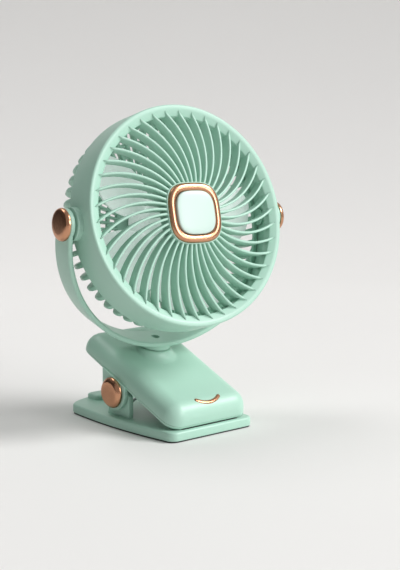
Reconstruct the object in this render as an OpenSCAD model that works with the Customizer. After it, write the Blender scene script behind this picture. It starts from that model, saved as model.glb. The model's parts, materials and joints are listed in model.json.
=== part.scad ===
// Clip fan: a spring clip carries a swivelling yoke, and the round fan head tilts in it.
// Millimetres. +Z is up, the fan blows towards -Y, and the origin is under the middle of the base.

/* [Clip base] */
// Length of the lower clip plate
base_len = 95; // [90:1:100]
// Width of the plate at its widest
base_w = 62.2; // [62:0.2:66]
// Narrowing of the plate from its widest to its front end
base_narrowing = 7; // [5:0.2:8]
// Thickness of the plate
base_t = 4.7; // [4:0.1:6]
// Radius of the plate's front corners
base_corner_r = 5; // [3:0.5:8]
// Length of the rounded tail
base_tail_len = 12.5; // [8:0.5:16]
// Thickness of the rubber sheet under the plate
foot_t = 0.8; // [0.6:0.1:1.2]
// Height of the hinge pin's axis above the table
hinge_h = 18.4; // [18.2:0.1:19.4]
// Radius of the hinge pin
pin_r = 2; // [1.6:0.1:2.4]
// Radius of the two caps on the pin
pin_cap_r = 8.2; // [7:0.1:9]
// Thickness of the two caps on the pin
pin_cap_t = 3.3; // [2.8:0.1:4]

/* [Jaw] */
// Distance of the jaw's sides from the plate's widest edges
jaw_inset = 4.1; // [3.9:0.1:5]
// Thickness of the jaw
jaw_t = 11.2; // [11:0.1:12.4]
// Reach of the nose ahead of the pin, along the jaw
jaw_front = 47.4; // [46.6:0.2:48]
// Reach of the rear end behind the pin, along the jaw
jaw_rear = 37; // [35:0.2:38]
// Distance from the pin's axis to the jaw's underside
jaw_lift = 6; // [5.8:0.1:6.4]
// Slope of the closed jaw, in degrees
jaw_slope = 22.7; // [22:0.1:22.9]
// Wall of the jaw's shells
jaw_wall = 1.6; // [1.4:0.1:2]
// Radius of the lobes that hold the pin
lobe_r = 9.5; // [8.4:0.1:10]
// Width of the curved inlay's stroke
inlay_w = 2.2; // [1.6:0.1:2.6]

/* [Neck and yoke] */
// Forward lean of the swivel axis, in degrees
lean = 13; // [11:0.5:15]
// Place of the neck behind the pin, along the jaw
neck_u = 8.2; // [7:0.1:9.4]
// Swivel of the yoke in the pose shown, in degrees
swivel_rest = -7; // [-20:1:20]
// Gap between the head's casing and the yoke
yoke_gap = 3.6; // [2.8:0.1:4.2]
// Thickness of the yoke's band
yoke_t = 2.8; // [2.4:0.1:3.4]
// Width of the yoke's band beside the head
yoke_w = 14.4; // [13:0.1:16]
// Width of the yoke's band under the head
yoke_floor_w = 18; // [16:0.5:20]
// Drop of the band's centre below the tilt axis
yoke_drop = 3.5; // [3:0.1:6]
// Height of the turning collar under the band
collar_h = 2.2; // [2:0.1:4]
// Radius of the turning collar
collar_r = 8.6; // [8:0.1:9.4]
// Height of the fixed boss under the collar, on the swivel axis
boss_h = 2.5; // [2.3:0.1:4]
// Radius of the copper-coloured pivot knobs
knob_r = 8.4; // [7:0.1:9]
// Thickness of the pivot knobs
knob_t = 3; // [2.8:0.1:4]

/* [Head casing] */
// Tilt of the head from square to the swivel axis, in degrees
tilt_rest = 28.5; // [0:0.5:45]
// Outer radius of the casing at its front rim
rim_r = 58.1; // [57:0.1:62]
// Growth of the casing's radius from its rim to its rear edge
casing_flare = 0.4; // [0.2:0.1:1]
// Depth of the casing
casing_depth = 20.5; // [19:0.1:22]
// Wall of the casing
casing_wall = 2; // [1.8:0.1:2.3]
// Distance of the rim ahead of the tilt axis
rim_ahead = 16; // [15:0.1:16.6]

/* [Front grille] */
// Number of curved ribs in the front grille
rib_count = 42; // [30:1:44]
// Thickness of a curved rib
rib_w = 1.3; // [1:0.1:1.5]
// Depth of a curved rib
rib_depth = 6.6; // [5:0.1:7]
// Radius of a rib's curve
rib_curve_r = 45; // [40:1:52]
// Rise of the grille from its edge to its hub
dome_rise = 6.7; // [6:0.1:8]
// Half width of the hub's collar
hub_half = 16.1; // [15.4:0.1:17]
// Width of the copper-coloured ring on the hub
trim_w = 4; // [3:0.1:4.6]

/* [Rear grille] */
// Number of ribs in the rear grille
rear_rib_count = 52; // [40:1:54]
// Thickness of a rear rib at its outer end; it narrows towards the middle
rear_rib_w = 2.7; // [2:0.1:3]
// Depth of a rear rib's bar
rear_rib_h = 3.6; // [3:0.1:3.8]
// Distance that the rear grille stands behind the casing
rear_depth = 15.5; // [15:0.1:17]
// Radius of the rear hub plate
rear_plate_r = 22; // [21:0.5:26]
// Radius of the cap behind the hub plate
rear_cap_r = 19; // [18.6:0.1:20.5]
// Depth of the cap behind the hub plate
rear_cap_t = 6; // [6:0.1:7]
// Radius of the power button
button_r = 5.2; // [4:0.1:6]
// Travel of the power button
button_travel = 0.6; // [0.4:0.05:0.6]

/* [Rotor] */
// Number of fan blades
blade_count = 5; // [3:1:5]
// Gap between the blades' tips and the casing's inner wall
blade_gap = 6.4; // [5.4:0.1:10]
// Thickness of a blade
blade_t = 1.3; // [1:0.1:1.6]
// Pitch of the blades, in degrees
blade_pitch = 25; // [18:1:26]
// Radius of the rotor's hub
rotor_hub_r = 17; // [16.6:0.1:18]

/* [Torsion spring] */
// Radius of the spring's wire
wire_r = 0.8; // [0.6:0.05:0.9]
// Number of full turns of the spring
spring_turns = 11; // [6:1:12]
// Pitch of the spring's turns
spring_pitch = 2.5; // [2.3:0.1:2.8]

/* [Hidden] */
$fn = 96;
hull_fn = 32;

// Colours as the photograph shows them
mint = [0.66, 0.86, 0.78];
copper = [0.78, 0.50, 0.34];
dark_rubber = [0.13, 0.13, 0.14];
steel = [0.72, 0.73, 0.75];
frosted = [0.86, 0.90, 0.89, 0.8];
board_green = [0.10, 0.35, 0.20];

// Clearances, fillets and the overrun of cuts
part_gap = 0.3;
seat_gap = 0.2;
run_gap = 0.05;
press_gap = 0.02;
edge_round = 1;
small_round = 0.6;
overrun = 1;
sink = 1;

// Places in the clip
plate_top = foot_t + base_t;
base_front_w = base_w - base_narrowing;
base_front_y = -base_len / 2;
base_rear_y = base_len / 2;
widest_ahead = 2.8;
hinge_behind = 1;
foot_inset = 0.5;
base_side_steps = 8;
lever_pad_w = 28;
lever_pad_len = 11;
lever_pad_h = 2.8;
lever_pad_inset = 2.5;
lever_pad_corner_r = 3;

// Jaw, lobes, ears and the width over them
jaw_w = base_w - 2 * jaw_inset;
jaw_top = jaw_lift + jaw_t;
jaw_split = jaw_lift + jaw_wall;
jaw_shell_t = 2.1;
jaw_top_round = 9;
nose_rake = 9.5;
nose_corner_r = 8;
jaw_edge_r = 1.2;
lobe_proud = 1.2;
lobe_t = 2.6;
lobe_shoulder = 0.2;
lobe_face_x = jaw_w / 2 + lobe_proud;
lobe_inner_x = lobe_face_x - lobe_t;
ear_t = 3;
ear_face_x = lobe_inner_x - part_gap;
ear_r = jaw_lift - part_gap - seat_gap;
ear_front = 9.7;
ear_rear = 9.2;
ear_shoulder_drop = 1.4;
ear_shoulder = 0.1;
cap_seat_x = lobe_face_x + part_gap;
pin_cap_bore = 2.2;

// Rubber pads in the mouth
grip_w = 38;
grip_recess = 0.6;
grip_proud = 0.1;
base_grip_len = 8;
base_grip_ahead = 37;
jaw_grip_len = 6;
jaw_grip_ahead = 37;

// Space inside the jaw and what fills it
jaw_side_wall = 5.5;
cavity_w = jaw_w - 2 * jaw_side_wall;
cavity_front = jaw_front - nose_rake + part_gap;
cavity_rear = 29;
battery_len = 32;
battery_w = cavity_w - 2 * (part_gap + seat_gap);
battery_t = 5.6;
post_r = 3;
post_x = (cavity_w - post_r) / 2;
post_front_u = 0;
post_rear_u = 24;
jaw_screw_r = 1.05;
jaw_screw_head_r = 2.1;
jaw_screw_head_t = 0.8;
jaw_screw_len = 7;
board_t = 1.2;
charge_board_w = 22;
charge_board_len = 14;
board_nook = 3.6;
board_nook_h = 6;
usb_w = 9;
usb_h = 3.2;
usb_len = 7;
usb_wall = 0.35;
usb_tongue_t = 0.7;
usb_recess = 1.2;
usb_round_share = 0.45;
usb_tongue_share = 0.66;

// Curved inlay
inlay_r = 12.8;
inlay_half_angle = 36;
inlay_ahead = 42;
inlay_slope = 18;
inlay_sink = 0.95;
inlay_depth = 0.9;
inlay_proud = 0.5;

// Neck along the swivel axis, counted down from the tilt axis
casing_r = rim_r + casing_flare;
yoke_in_r = casing_r + yoke_gap;
yoke_out_r = yoke_in_r + yoke_t;
yoke_floor = yoke_out_r + yoke_drop;
collar_bottom = yoke_floor + collar_h;
boss_top = collar_bottom + part_gap;
jaw_down = boss_top + boss_h;
boss_r = collar_r + edge_round;
boss_foot_r = boss_r + 3 * edge_round;
inner_boss_r = 8.5;
inner_boss_h = 3.8;
spigot_r = 5.5;
washer_top = jaw_down + inner_boss_h + part_gap;
washer_r = 7.4;
washer_t = 1.2;
swivel_head_r = 2.1;
swivel_head_t = 1.6;
swivel_shank_r = 1.25;
swivel_hole_r = 2.3;
swivel_seat = collar_bottom + collar_h / 2;

// Tilt axis in the clip's frame
pivot_y = hinge_behind + neck_u * cos(jaw_slope) - jaw_top * sin(jaw_slope) - jaw_down * sin(lean);
pivot_z = hinge_h + neck_u * sin(jaw_slope) + jaw_top * cos(jaw_slope) + jaw_down * cos(lean);

// Tilt pivots
yoke_end_r = yoke_w / 2 + edge_round;
friction_washer_t = 0.8;
friction_washer_r = 5.4;
pivot_shank_r = 2;
pivot_head_r = 3.8;
pivot_head_t = 1.5;
pivot_boss_r = 8.6;
pivot_boss_face = yoke_in_r - friction_washer_t - part_gap;
pivot_core_r = 4.5;
knob_hollow_r = pivot_head_r + part_gap;

// Casing and front grille
casing_rear = rim_ahead - casing_depth;
casing_in_r = rim_r - casing_wall;
lip_h = 1.4;
lip_t = 1.1;
ring_r = casing_in_r - seat_gap;
ring_w = 3.9;
ring_drop = 0.3;
ring_depth = 6.6;
ring_dish = 1.4;
ring_front = rim_ahead - ring_drop;
ring_rear = ring_front - ring_depth;
ring_in_r = ring_r - ring_w;
lip_front = ring_rear - seat_gap;
pivot_core_end = casing_in_r - lip_t;
rib_end_inset = 1.3;
rib_end_drop = 0.1;
rib_out_r = ring_r - rib_end_inset;
rib_in_r = hub_half - edge_round;
dome_edge_z = ring_front - ring_dish;
dome_mid_share = 0.52;
dome_mid_rise_share = 0.66;
rib_wedge_angles = [-8, 62];
collar_back = dome_edge_z + dome_rise - rib_depth - edge_round;
collar_front = dome_edge_z + dome_rise + small_round / 2;
hub_recess = 2.2;
hub_shape_power = 3.2;
hub_shape_steps = 60;
trim_half = hub_half - small_round;
trim_proud = 1.7;
badge_half = trim_half - trim_w - run_gap;
badge_proud = 2.4;

// Rear grille and its rings, as radii and depths behind the tilt axis
rear_out_r = casing_r - casing_wall;
flange_w = 2.2;
flange_t = 2.1;
flange_r = rear_out_r - 3 * seat_gap;
flange_step = 0.1;
flange_rear = casing_rear + flange_step;
rear_tip_z = casing_rear - rear_depth;
rear_taper = 1.8;
rear_bend = 4.6;
rear_dome = 3.6;
rear_tip_r = rear_out_r - rear_taper;
ring_bar_w = 2.1;
ring_bar_t = 2;
ring_inset = 0.8;
face_ring_shares = [0.24, 0.43, 0.62, 0.81];
plate_t = 2.6;
plate_rear = rear_tip_z - rear_dome;
plate_front = plate_rear + plate_t;
tube_r = 4;
bush_r = 2.5;
tube_len = 19;

// Motor
shaft_r = 1.5;
bush_len = 4;
stator_r = 12.5;
stator_behind = 5.4;
stator_t = 9;
winding_t = 2.4;
winding_in_r = 5;
winding_out_r = 11.5;
air_gap = 0.45;
magnet_t = 1.2;
cup_wall = 1;
motor_board_r = 13;
cup_ahead = 4;
cup_depth = 18.4;
cup_rear = plate_front + cup_ahead;
cup_front = cup_rear + cup_depth;
cup_r = stator_r + air_gap + magnet_t + cup_wall + run_gap;
hub_face_t = 2;
blade_r = casing_in_r - blade_gap;
blade_camber_r = 60;
blade_root_sink = 0.8;
blade_setback = 3.5;
blade_middle = cup_front - blade_setback;

// Cap, control board and button, counted back from the plate
cap_wall = 1.6;
cap_rear = plate_rear - rear_cap_t;
cap_screw_count = 3;
cap_post_inset = 3.5;
cap_screw_ring = rear_cap_r - cap_post_inset;
cap_post_r = 2.6;
cap_screw_r = 1;
cap_head_r = 1.9;
cap_head_t = 1;
control_board_r = cap_screw_ring - cap_post_r - part_gap;
control_board_rear = plate_rear - part_gap - board_t;
switch_w = 6;
switch_t = 1.2;
button_flange = 1.2;
button_flange_t = 0.6;
button_proud = 0.8;
button_gap = 0.1;
button_spare = 0.15;
button_front = cap_rear + cap_wall + button_gap + button_flange_t;
plunger_r = 1.6;
plunger_rear = button_front + button_travel + button_spare;

// Spring: the coil lies round the pin and its legs press the plate and the jaw apart behind it
spring_r = jaw_lift - part_gap - wire_r;
spring_rings = 8;
spring_sides = 6;
leg_angle = 35;
leg_drop = hinge_h - plate_top - wire_r - part_gap;
lower_leg = (leg_drop - spring_r * cos(leg_angle)) / sin(leg_angle);
upper_leg = 16;
spring_len = spring_turns * spring_pitch;

function arc(x, y, r, from, to, steps) =
  [for (i = [0:steps]) let (a = from + (to - from) * i / steps) [x + r * cos(a), y + r * sin(a)]];

function base_half(y) =
  base_w / 2 - (base_w - base_front_w) / 2 * pow((y + widest_ahead) / (base_len / 2 - widest_ahead), 2);

function base_outline(inset) =
  let (
    tail_y = base_rear_y - base_tail_len,
    tail_half = base_half(tail_y) - inset,
    tail_len = base_tail_len - inset,
    corner_y = base_front_y + base_corner_r,
    corner_x = base_half(corner_y) - base_corner_r,
    steps = base_side_steps,
    side = [for (i = [1:steps - 1])
      let (y = corner_y + (tail_y - corner_y) * i / steps) [base_half(y) - inset, y]],
    mirrored = [for (i = [len(side) - 1:-1:0]) [-side[i][0], side[i][1]]]
  )
  concat(
    arc(corner_x, corner_y, base_corner_r - inset, -90, 0, 6),
    side,
    [for (a = [0:10:180]) [tail_half * cos(a), tail_y + tail_len * sin(a)]],
    mirrored,
    arc(-corner_x, corner_y, base_corner_r - inset, 180, 270, 6)
  );

function squircle(half) =
  [for (i = [0:hub_shape_steps - 1])
    let (a = 360 * i / hub_shape_steps, c = cos(a), s = sin(a))
    half / pow(pow(abs(c), hub_shape_power) + pow(abs(s), hub_shape_power), 1 / hub_shape_power) * [c, s]];

module rounded_plan(w, l, r) {
  polygon(concat(
    arc(w / 2 - r, -l / 2 + r, r, -90, 0, 4),
    arc(w / 2 - r, l / 2 - r, r, 0, 90, 4),
    arc(-w / 2 + r, l / 2 - r, r, 90, 180, 4),
    arc(-w / 2 + r, -l / 2 + r, r, 180, 270, 4)
  ));
}

// A button-shaped disc from z = 0, with its outer rim rounded
module round_disc(r, t, rim) {
  rotate_extrude()
    polygon(concat([[0, 0], [r, 0]], arc(r - rim, t - rim, rim, 0, 90, 4), [[0, t]]));
}

module tube(out_r, in_r, from, to) {
  translate([0, 0, from])
    difference() {
      cylinder(r = out_r, h = to - from);
      translate([0, 0, -overrun]) cylinder(r = in_r, h = to - from + 2 * overrun);
    }
}

module both_sides() {
  children();
  mirror([1, 0, 0]) children();
}

// Stands a child that points along +Z so that it points along +X
module along_x() {
  rotate([0, 90, 0]) children();
}

module jaw_place() {
  translate([0, hinge_behind, hinge_h]) rotate([jaw_slope, 0, 0]) children();
}

module neck_place() {
  translate([0, pivot_y, pivot_z]) rotate([lean, 0, 0]) children();
}

module yoke_place() {
  neck_place() rotate([0, 0, swivel_rest]) children();
}

module head_place() {
  yoke_place() rotate([90 - tilt_rest, 0, 0]) children();
}

// Clip base
module ear() {
  shoulder_z = hinge_h - ear_shoulder_drop;
  translate([ear_face_x - ear_t, hinge_behind, 0])
    rotate([90, 0, 90])
      linear_extrude(ear_t) {
        polygon([
          [-ear_front, plate_top - sink], [ear_rear, plate_top - sink], [ear_r - ear_shoulder, hinge_h],
          [0, hinge_h + ear_shoulder], [-ear_r + ear_shoulder, hinge_h], [-ear_front, shoulder_z]
        ]);
        translate([0, hinge_h]) circle(r = ear_r);
      }
}

module base_plate() {
  pad_y = base_rear_y - lever_pad_inset - lever_pad_len / 2;
  color(mint)
    difference() {
      union() {
        translate([0, 0, foot_t]) linear_extrude(base_t) polygon(base_outline(0));
        both_sides() ear();
        translate([0, pad_y, plate_top - sink])
          linear_extrude(lever_pad_h + sink) rounded_plan(lever_pad_w, lever_pad_len, lever_pad_corner_r);
      }
      translate([0, hinge_behind, hinge_h])
        along_x() cylinder(r = pin_r + press_gap, h = base_w, center = true);
      translate([-grip_w / 2, -base_grip_ahead - base_grip_len, plate_top - grip_recess])
        cube([grip_w, base_grip_len, grip_recess + overrun]);
    }
}

module foot_pad() {
  color(dark_rubber) linear_extrude(foot_t) polygon(base_outline(foot_inset));
}

module base_grip_pad() {
  inset = press_gap;
  color(dark_rubber)
    translate([-grip_w / 2 + inset, -base_grip_ahead - base_grip_len + inset, plate_top - grip_recess])
      cube([grip_w - 2 * inset, base_grip_len - 2 * inset, grip_recess + grip_proud]);
}

module hinge_pin() {
  half = cap_seat_x + pin_cap_bore - run_gap;
  color(steel)
    translate([-half, hinge_behind, hinge_h]) along_x() cylinder(r = pin_r, h = 2 * half);
}

module pin_cap() {
  translate([cap_seat_x, hinge_behind, hinge_h])
    along_x()
      difference() {
        round_disc(pin_cap_r, pin_cap_t, edge_round);
        translate([0, 0, -overrun]) cylinder(r = pin_r + press_gap, h = pin_cap_bore + overrun);
      }
}

module pin_cap_left() {
  color(copper) mirror([1, 0, 0]) pin_cap();
}

module pin_cap_right() {
  color(copper) pin_cap();
}

// The spring's centre line: each entry is a point and the outward direction across the coil
function spring_path() =
  let (
    from = 270 - leg_angle,
    to = 90 + jaw_slope - 360 * spring_turns,
    steps = round((from - to) / 360 * spring_rings),
    coil = [for (i = [0:steps])
      let (a = from + (to - from) * i / steps, out = [0, cos(a), sin(a)])
      [[-spring_len / 2 + spring_len * i / steps, 0, 0] + spring_r * out, out]],
    lower = [coil[0][0] + lower_leg * [0, cos(leg_angle), -sin(leg_angle)], coil[0][1]],
    upper = [coil[steps][0] + upper_leg * [0, cos(jaw_slope), sin(jaw_slope)], coil[steps][1]]
  )
  concat([lower], coil, [upper]);

function least_gap(path) =
  min([for (i = [1:len(path) - 2])
    for (j = [i + spring_rings / 2:1:len(path) - 2]) norm(path[i][0] - path[j][0])]) - 2 * wire_r;

module torsion_spring() {
  path = spring_path();
  rings = len(path);
  points = [for (p = path)
    for (k = [0:spring_sides - 1])
      let (a = 360 * k / spring_sides)
      p[0] + wire_r * (cos(a) * p[1] + sin(a) * [1, 0, 0])];
  last = (rings - 1) * spring_sides;
  sides = [for (i = [0:rings - 2])
    for (k = [0:spring_sides - 1])
      let (a = i * spring_sides + k, b = i * spring_sides + (k + 1) % spring_sides)
      each [[a, b, a + spring_sides], [b, b + spring_sides, a + spring_sides]]];
  caps = [for (k = [1:spring_sides - 2]) each [[0, k + 1, k], [last, last + k, last + k + 1]]];
  echo("least gap of the spring to itself", least_gap(path));
  color(steel) translate([0, hinge_behind, hinge_h]) polyhedron(points, concat(sides, caps));
}

// Jaw
module edge_ring(r, edge) {
  rotate_extrude($fn = hull_fn)
    intersection() {
      translate([r - edge, 0]) circle(r = edge, $fn = hull_fn);
      translate([0, -edge]) square([r, 2 * edge]);
    }
}

module dome(r) {
  rotate_extrude($fn = hull_fn) polygon(concat([[0, 0]], arc(0, 0, r, 0, 90, 8)));
}

module jaw_form() {
  top_x = jaw_w / 2 - jaw_top_round;
  rear_u = jaw_rear - jaw_top_round;
  hull()
    both_sides() {
      for (u = [-jaw_front + nose_rake, rear_u])
        translate([top_x, u, jaw_top - jaw_top_round]) dome(jaw_top_round);
      translate([top_x, rear_u, jaw_lift + jaw_edge_r]) edge_ring(jaw_top_round, jaw_edge_r);
      translate([jaw_w / 2 - nose_corner_r, -jaw_front + nose_corner_r, jaw_lift + jaw_edge_r])
        edge_ring(nose_corner_r, jaw_edge_r);
    }
}

module slab(from, to) {
  wide = jaw_w + 2 * overrun;
  long = jaw_front + jaw_rear + 2 * overrun;
  translate([-wide / 2, -jaw_front - overrun, from]) cube([wide, long, to - from]);
}

module jaw_posts(r, from, to) {
  both_sides()
    for (u = [post_front_u, post_rear_u])
      translate([post_x, u, from]) cylinder(r = r, h = to - from, $fn = 48);
}

module inlay_shape(extra) {
  translate([0, inlay_r, 0]) {
    intersection() {
      difference() {
        circle(r = inlay_r + inlay_w / 2 + extra);
        circle(r = inlay_r - inlay_w / 2 - extra);
      }
      polygon([
        [0, 0],
        2 * inlay_r * [-sin(inlay_half_angle), -cos(inlay_half_angle)],
        2 * inlay_r * [sin(inlay_half_angle), -cos(inlay_half_angle)]
      ]);
    }
    for (side = [-1, 1])
      translate(inlay_r * [side * sin(inlay_half_angle), -cos(inlay_half_angle)])
        circle(r = inlay_w / 2 + extra, $fn = 24);
  }
}

// Lays the inlay on the nose, where the jaw's top begins to roll down
module inlay_place() {
  translate([0, -inlay_ahead, jaw_top - inlay_sink]) rotate([inlay_slope, 0, 0]) children();
}

// The space inside the jaw, with a nook at its rear for the charging board
module jaw_cavity(ceiling) {
  nook_w = charge_board_w + 4 * part_gap;
  translate([-cavity_w / 2, -cavity_front, 0]) cube([cavity_w, cavity_front + cavity_rear, ceiling]);
  translate([-nook_w / 2, cavity_rear - overrun, 0])
    cube([nook_w, board_nook + overrun, jaw_split + board_nook_h]);
}

module jaw_cover() {
  ceiling = jaw_top - jaw_shell_t;
  color(mint)
    difference() {
      union() {
        jaw_place()
          difference() {
            jaw_form();
            slab(-jaw_t, jaw_split);
            jaw_cavity(ceiling);
          }
        jaw_place() jaw_posts(post_r, jaw_split, ceiling + sink);
        neck_place() translate([0, 0, -boss_top]) boss_shape();
      }
      jaw_place() {
        jaw_posts(jaw_screw_r + press_gap, 0, jaw_lift + jaw_screw_len + part_gap);
        inlay_place()
          translate([0, 0, -inlay_depth]) linear_extrude(inlay_depth + 2 * overrun) inlay_shape(press_gap);
        usb_place() usb_block(part_gap, usb_recess + overrun);
      }
      neck_place()
        translate([0, 0, -washer_top - overrun])
          cylinder(r = spigot_r + run_gap, h = washer_top - boss_top + 2 * overrun);
    }
}

// The fixed boss, pointing down from its top face along the swivel axis
module boss_shape() {
  foot = boss_h + collar_h;
  rotate_extrude()
    polygon([
      [0, 0], [boss_r - small_round, 0], [boss_r, -small_round], [boss_r + small_round / 2, -boss_h / 2],
      [boss_r + edge_round, -boss_h], [boss_foot_r, -foot], [boss_foot_r - 3 * edge_round, -foot],
      [inner_boss_r, -foot], [inner_boss_r, -boss_h - inner_boss_h], [0, -boss_h - inner_boss_h]
    ]);
}

module lobe() {
  reach = 2 * jaw_split;
  translate([lobe_inner_x, 0, 0])
    rotate([90, 0, 90])
      linear_extrude(lobe_t)
        difference() {
          union() {
            circle(r = lobe_r);
            rotate(-jaw_slope)
              translate([-lobe_r + lobe_shoulder, 0]) square([2 * (lobe_r - lobe_shoulder), reach]);
          }
          translate([-reach, jaw_split]) square([2 * reach, reach]);
          circle(r = pin_r + run_gap);
        }
}

module jaw_underside() {
  head_top = jaw_lift + jaw_screw_head_t;
  color(mint)
    jaw_place()
      difference() {
        union() {
          difference() {
            jaw_form();
            slab(jaw_split, jaw_top + overrun);
          }
          both_sides() lobe();
        }
        jaw_posts(jaw_screw_r + press_gap, 0, jaw_split + overrun);
        jaw_posts(jaw_screw_head_r + press_gap, jaw_lift - overrun, head_top);
      }
}

module jaw_screws() {
  color(steel)
    jaw_place() {
      jaw_posts(jaw_screw_r, jaw_lift + jaw_screw_head_t / 2, jaw_lift + jaw_screw_len);
      jaw_posts(jaw_screw_head_r, jaw_lift, jaw_lift + jaw_screw_head_t);
    }
}

module jaw_inlay() {
  color(copper)
    jaw_place()
      inlay_place()
        translate([0, 0, -inlay_depth]) linear_extrude(inlay_depth + inlay_proud) inlay_shape(0);
}

module jaw_grip_pad() {
  seat_z = plate_top + grip_proud + part_gap;
  front_u = -jaw_grip_ahead - jaw_grip_len;
  function pad_bottom(u) = (seat_z - hinge_h - u * sin(jaw_slope)) / cos(jaw_slope);
  color(dark_rubber)
    jaw_place()
      translate([-grip_w / 2, 0, 0])
        rotate([90, 0, 90])
          linear_extrude(grip_w)
            polygon([
              [front_u, pad_bottom(front_u)], [-jaw_grip_ahead, pad_bottom(-jaw_grip_ahead)],
              [-jaw_grip_ahead, jaw_lift], [front_u, jaw_lift]
            ]);
}

module battery_cell() {
  color("silver")
    jaw_place()
      translate([-battery_w / 2, -cavity_front + part_gap, jaw_split + seat_gap])
        cube([battery_w, battery_len, battery_t]);
}

module charge_board() {
  front_u = cavity_rear + board_nook - part_gap - charge_board_len;
  color(board_green)
    jaw_place()
      translate([-charge_board_w / 2, front_u, jaw_split + seat_gap])
        cube([charge_board_w, charge_board_len, board_t]);
}

module usb_place() {
  translate([0, jaw_rear - usb_recess - usb_len, jaw_split + seat_gap + board_t + usb_h / 2]) children();
}

// A block of the port's outline, grown by a clearance and lengthened rearwards
module usb_block(extra, longer) {
  height = usb_h + 2 * extra;
  translate([0, usb_len + longer, 0])
    rotate([90, 0, 0])
      linear_extrude(usb_len + longer) rounded_plan(usb_w + 2 * extra, height, height * usb_round_share);
}

module usb_c_port() {
  inner_w = usb_w - 2 * usb_wall;
  inner_h = usb_h - 2 * usb_wall;
  tongue_w = inner_w * usb_tongue_share;
  color(steel)
    jaw_place()
      usb_place() {
        difference() {
          usb_block(0, 0);
          translate([0, usb_len + overrun, 0])
            rotate([90, 0, 0])
              linear_extrude(usb_len) rounded_plan(inner_w, inner_h, inner_h * usb_round_share);
        }
        translate([-tongue_w / 2, 0, -usb_tongue_t / 2])
          cube([tongue_w, usb_len - usb_recess, usb_tongue_t]);
      }
}

// Yoke, seen from the front: a round band below, with straight inner walls up to the tilt axis
module yoke_outline() {
  difference() {
    translate([0, -yoke_drop]) circle(r = yoke_out_r);
    translate([0, -yoke_drop]) circle(r = yoke_in_r);
    translate([-yoke_in_r, -yoke_drop]) square([2 * yoke_in_r, 2 * yoke_drop]);
    translate([-2 * yoke_out_r, 0]) square([4 * yoke_out_r, 2 * yoke_out_r]);
  }
}

// The yoke seen from the side: it widens from the tilt axis down to its floor
module yoke_side() {
  side_half = yoke_w / 2;
  floor_half = yoke_floor_w / 2;
  polygon([
    [-side_half, overrun], [-side_half, 0], [-floor_half, -yoke_floor - overrun],
    [floor_half, -yoke_floor - overrun], [side_half, 0], [side_half, overrun]
  ]);
}

module yoke_band() {
  color(mint)
    yoke_place()
      difference() {
        union() {
          intersection() {
            rotate([90, 0, 0]) linear_extrude(2 * yoke_floor_w, center = true) yoke_outline();
            rotate([90, 0, 90]) linear_extrude(4 * yoke_out_r, center = true) yoke_side();
          }
          both_sides() translate([yoke_in_r, 0, 0]) along_x() cylinder(r = yoke_end_r, h = yoke_t);
          translate([0, 0, -collar_bottom]) cylinder(r = collar_r, h = collar_h + sink);
          translate([0, 0, -washer_top]) cylinder(r = spigot_r, h = washer_top - collar_bottom + sink);
        }
        translate([-2 * yoke_out_r, 0, 0])
          along_x() cylinder(r = pivot_shank_r + run_gap, h = 4 * yoke_out_r);
        translate([0, 0, -swivel_seat]) cylinder(r = swivel_hole_r, h = yoke_floor, $fn = 48);
        translate([0, 0, -washer_top - overrun])
          cylinder(r = swivel_shank_r + press_gap, h = washer_top, $fn = 48);
      }
}

module swivel_washer() {
  color(steel) yoke_place() tube(washer_r, swivel_shank_r + press_gap, -washer_top - washer_t, -washer_top);
}

module swivel_screw() {
  tip = washer_top + washer_t + small_round;
  shank = tip - swivel_seat + swivel_head_t / 2;
  color(steel)
    yoke_place() {
      translate([0, 0, -tip]) cylinder(r = swivel_shank_r, h = shank, $fn = 48);
      translate([0, 0, -swivel_seat]) cylinder(r = swivel_head_r, h = swivel_head_t, $fn = 48);
    }
}

module pivot_knob() {
  translate([yoke_in_r + yoke_t, 0, 0])
    along_x()
      difference() {
        round_disc(knob_r, knob_t, edge_round);
        translate([0, 0, -overrun])
          cylinder(r = knob_hollow_r, h = overrun + pivot_head_t + 2 * part_gap);
      }
}

module pivot_knob_left() {
  color(copper) yoke_place() mirror([1, 0, 0]) pivot_knob();
}

module pivot_knob_right() {
  color(copper) yoke_place() pivot_knob();
}

module pivot_washers() {
  to = yoke_in_r - run_gap;
  color(dark_rubber)
    yoke_place()
      both_sides()
        along_x() tube(friction_washer_r, pivot_shank_r + run_gap, to - friction_washer_t, to);
}

// Head: in its own frame +Z is the way it blows, and the tilt axis is X
module casing_ring() {
  rotate_extrude()
    polygon(concat(
      [[casing_in_r, rim_ahead - small_round], [casing_in_r + small_round, rim_ahead]],
      arc(rim_r - edge_round, rim_ahead - edge_round, edge_round, 90, 0, 4),
      [
        [casing_r, casing_rear + small_round], [casing_r - small_round, casing_rear],
        [rear_out_r, casing_rear], [rear_out_r, casing_rear + lip_h],
        [casing_in_r, lip_front - lip_h], [casing_in_r - lip_t, lip_front - lip_h],
        [casing_in_r - lip_t, lip_front], [casing_in_r, lip_front]
      ]
    ));
}

// The flat boss outside the casing's wall, and the core inside it that takes the screw
module pivot_boss() {
  intersection() {
    along_x() cylinder(r = pivot_boss_r, h = pivot_boss_face);
    tube(2 * casing_r, casing_r - casing_wall / 2, -pivot_boss_r, pivot_boss_r);
  }
  translate([pivot_core_end, 0, 0])
    along_x() cylinder(r = pivot_core_r, h = casing_r - pivot_core_end - sink);
}

module head_shroud() {
  color(mint)
    head_place()
      difference() {
        union() {
          casing_ring();
          both_sides() pivot_boss();
        }
        both_sides()
          translate([pivot_core_end + sink, 0, 0])
            along_x() cylinder(r = pivot_shank_r + press_gap, h = casing_r);
      }
}

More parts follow.
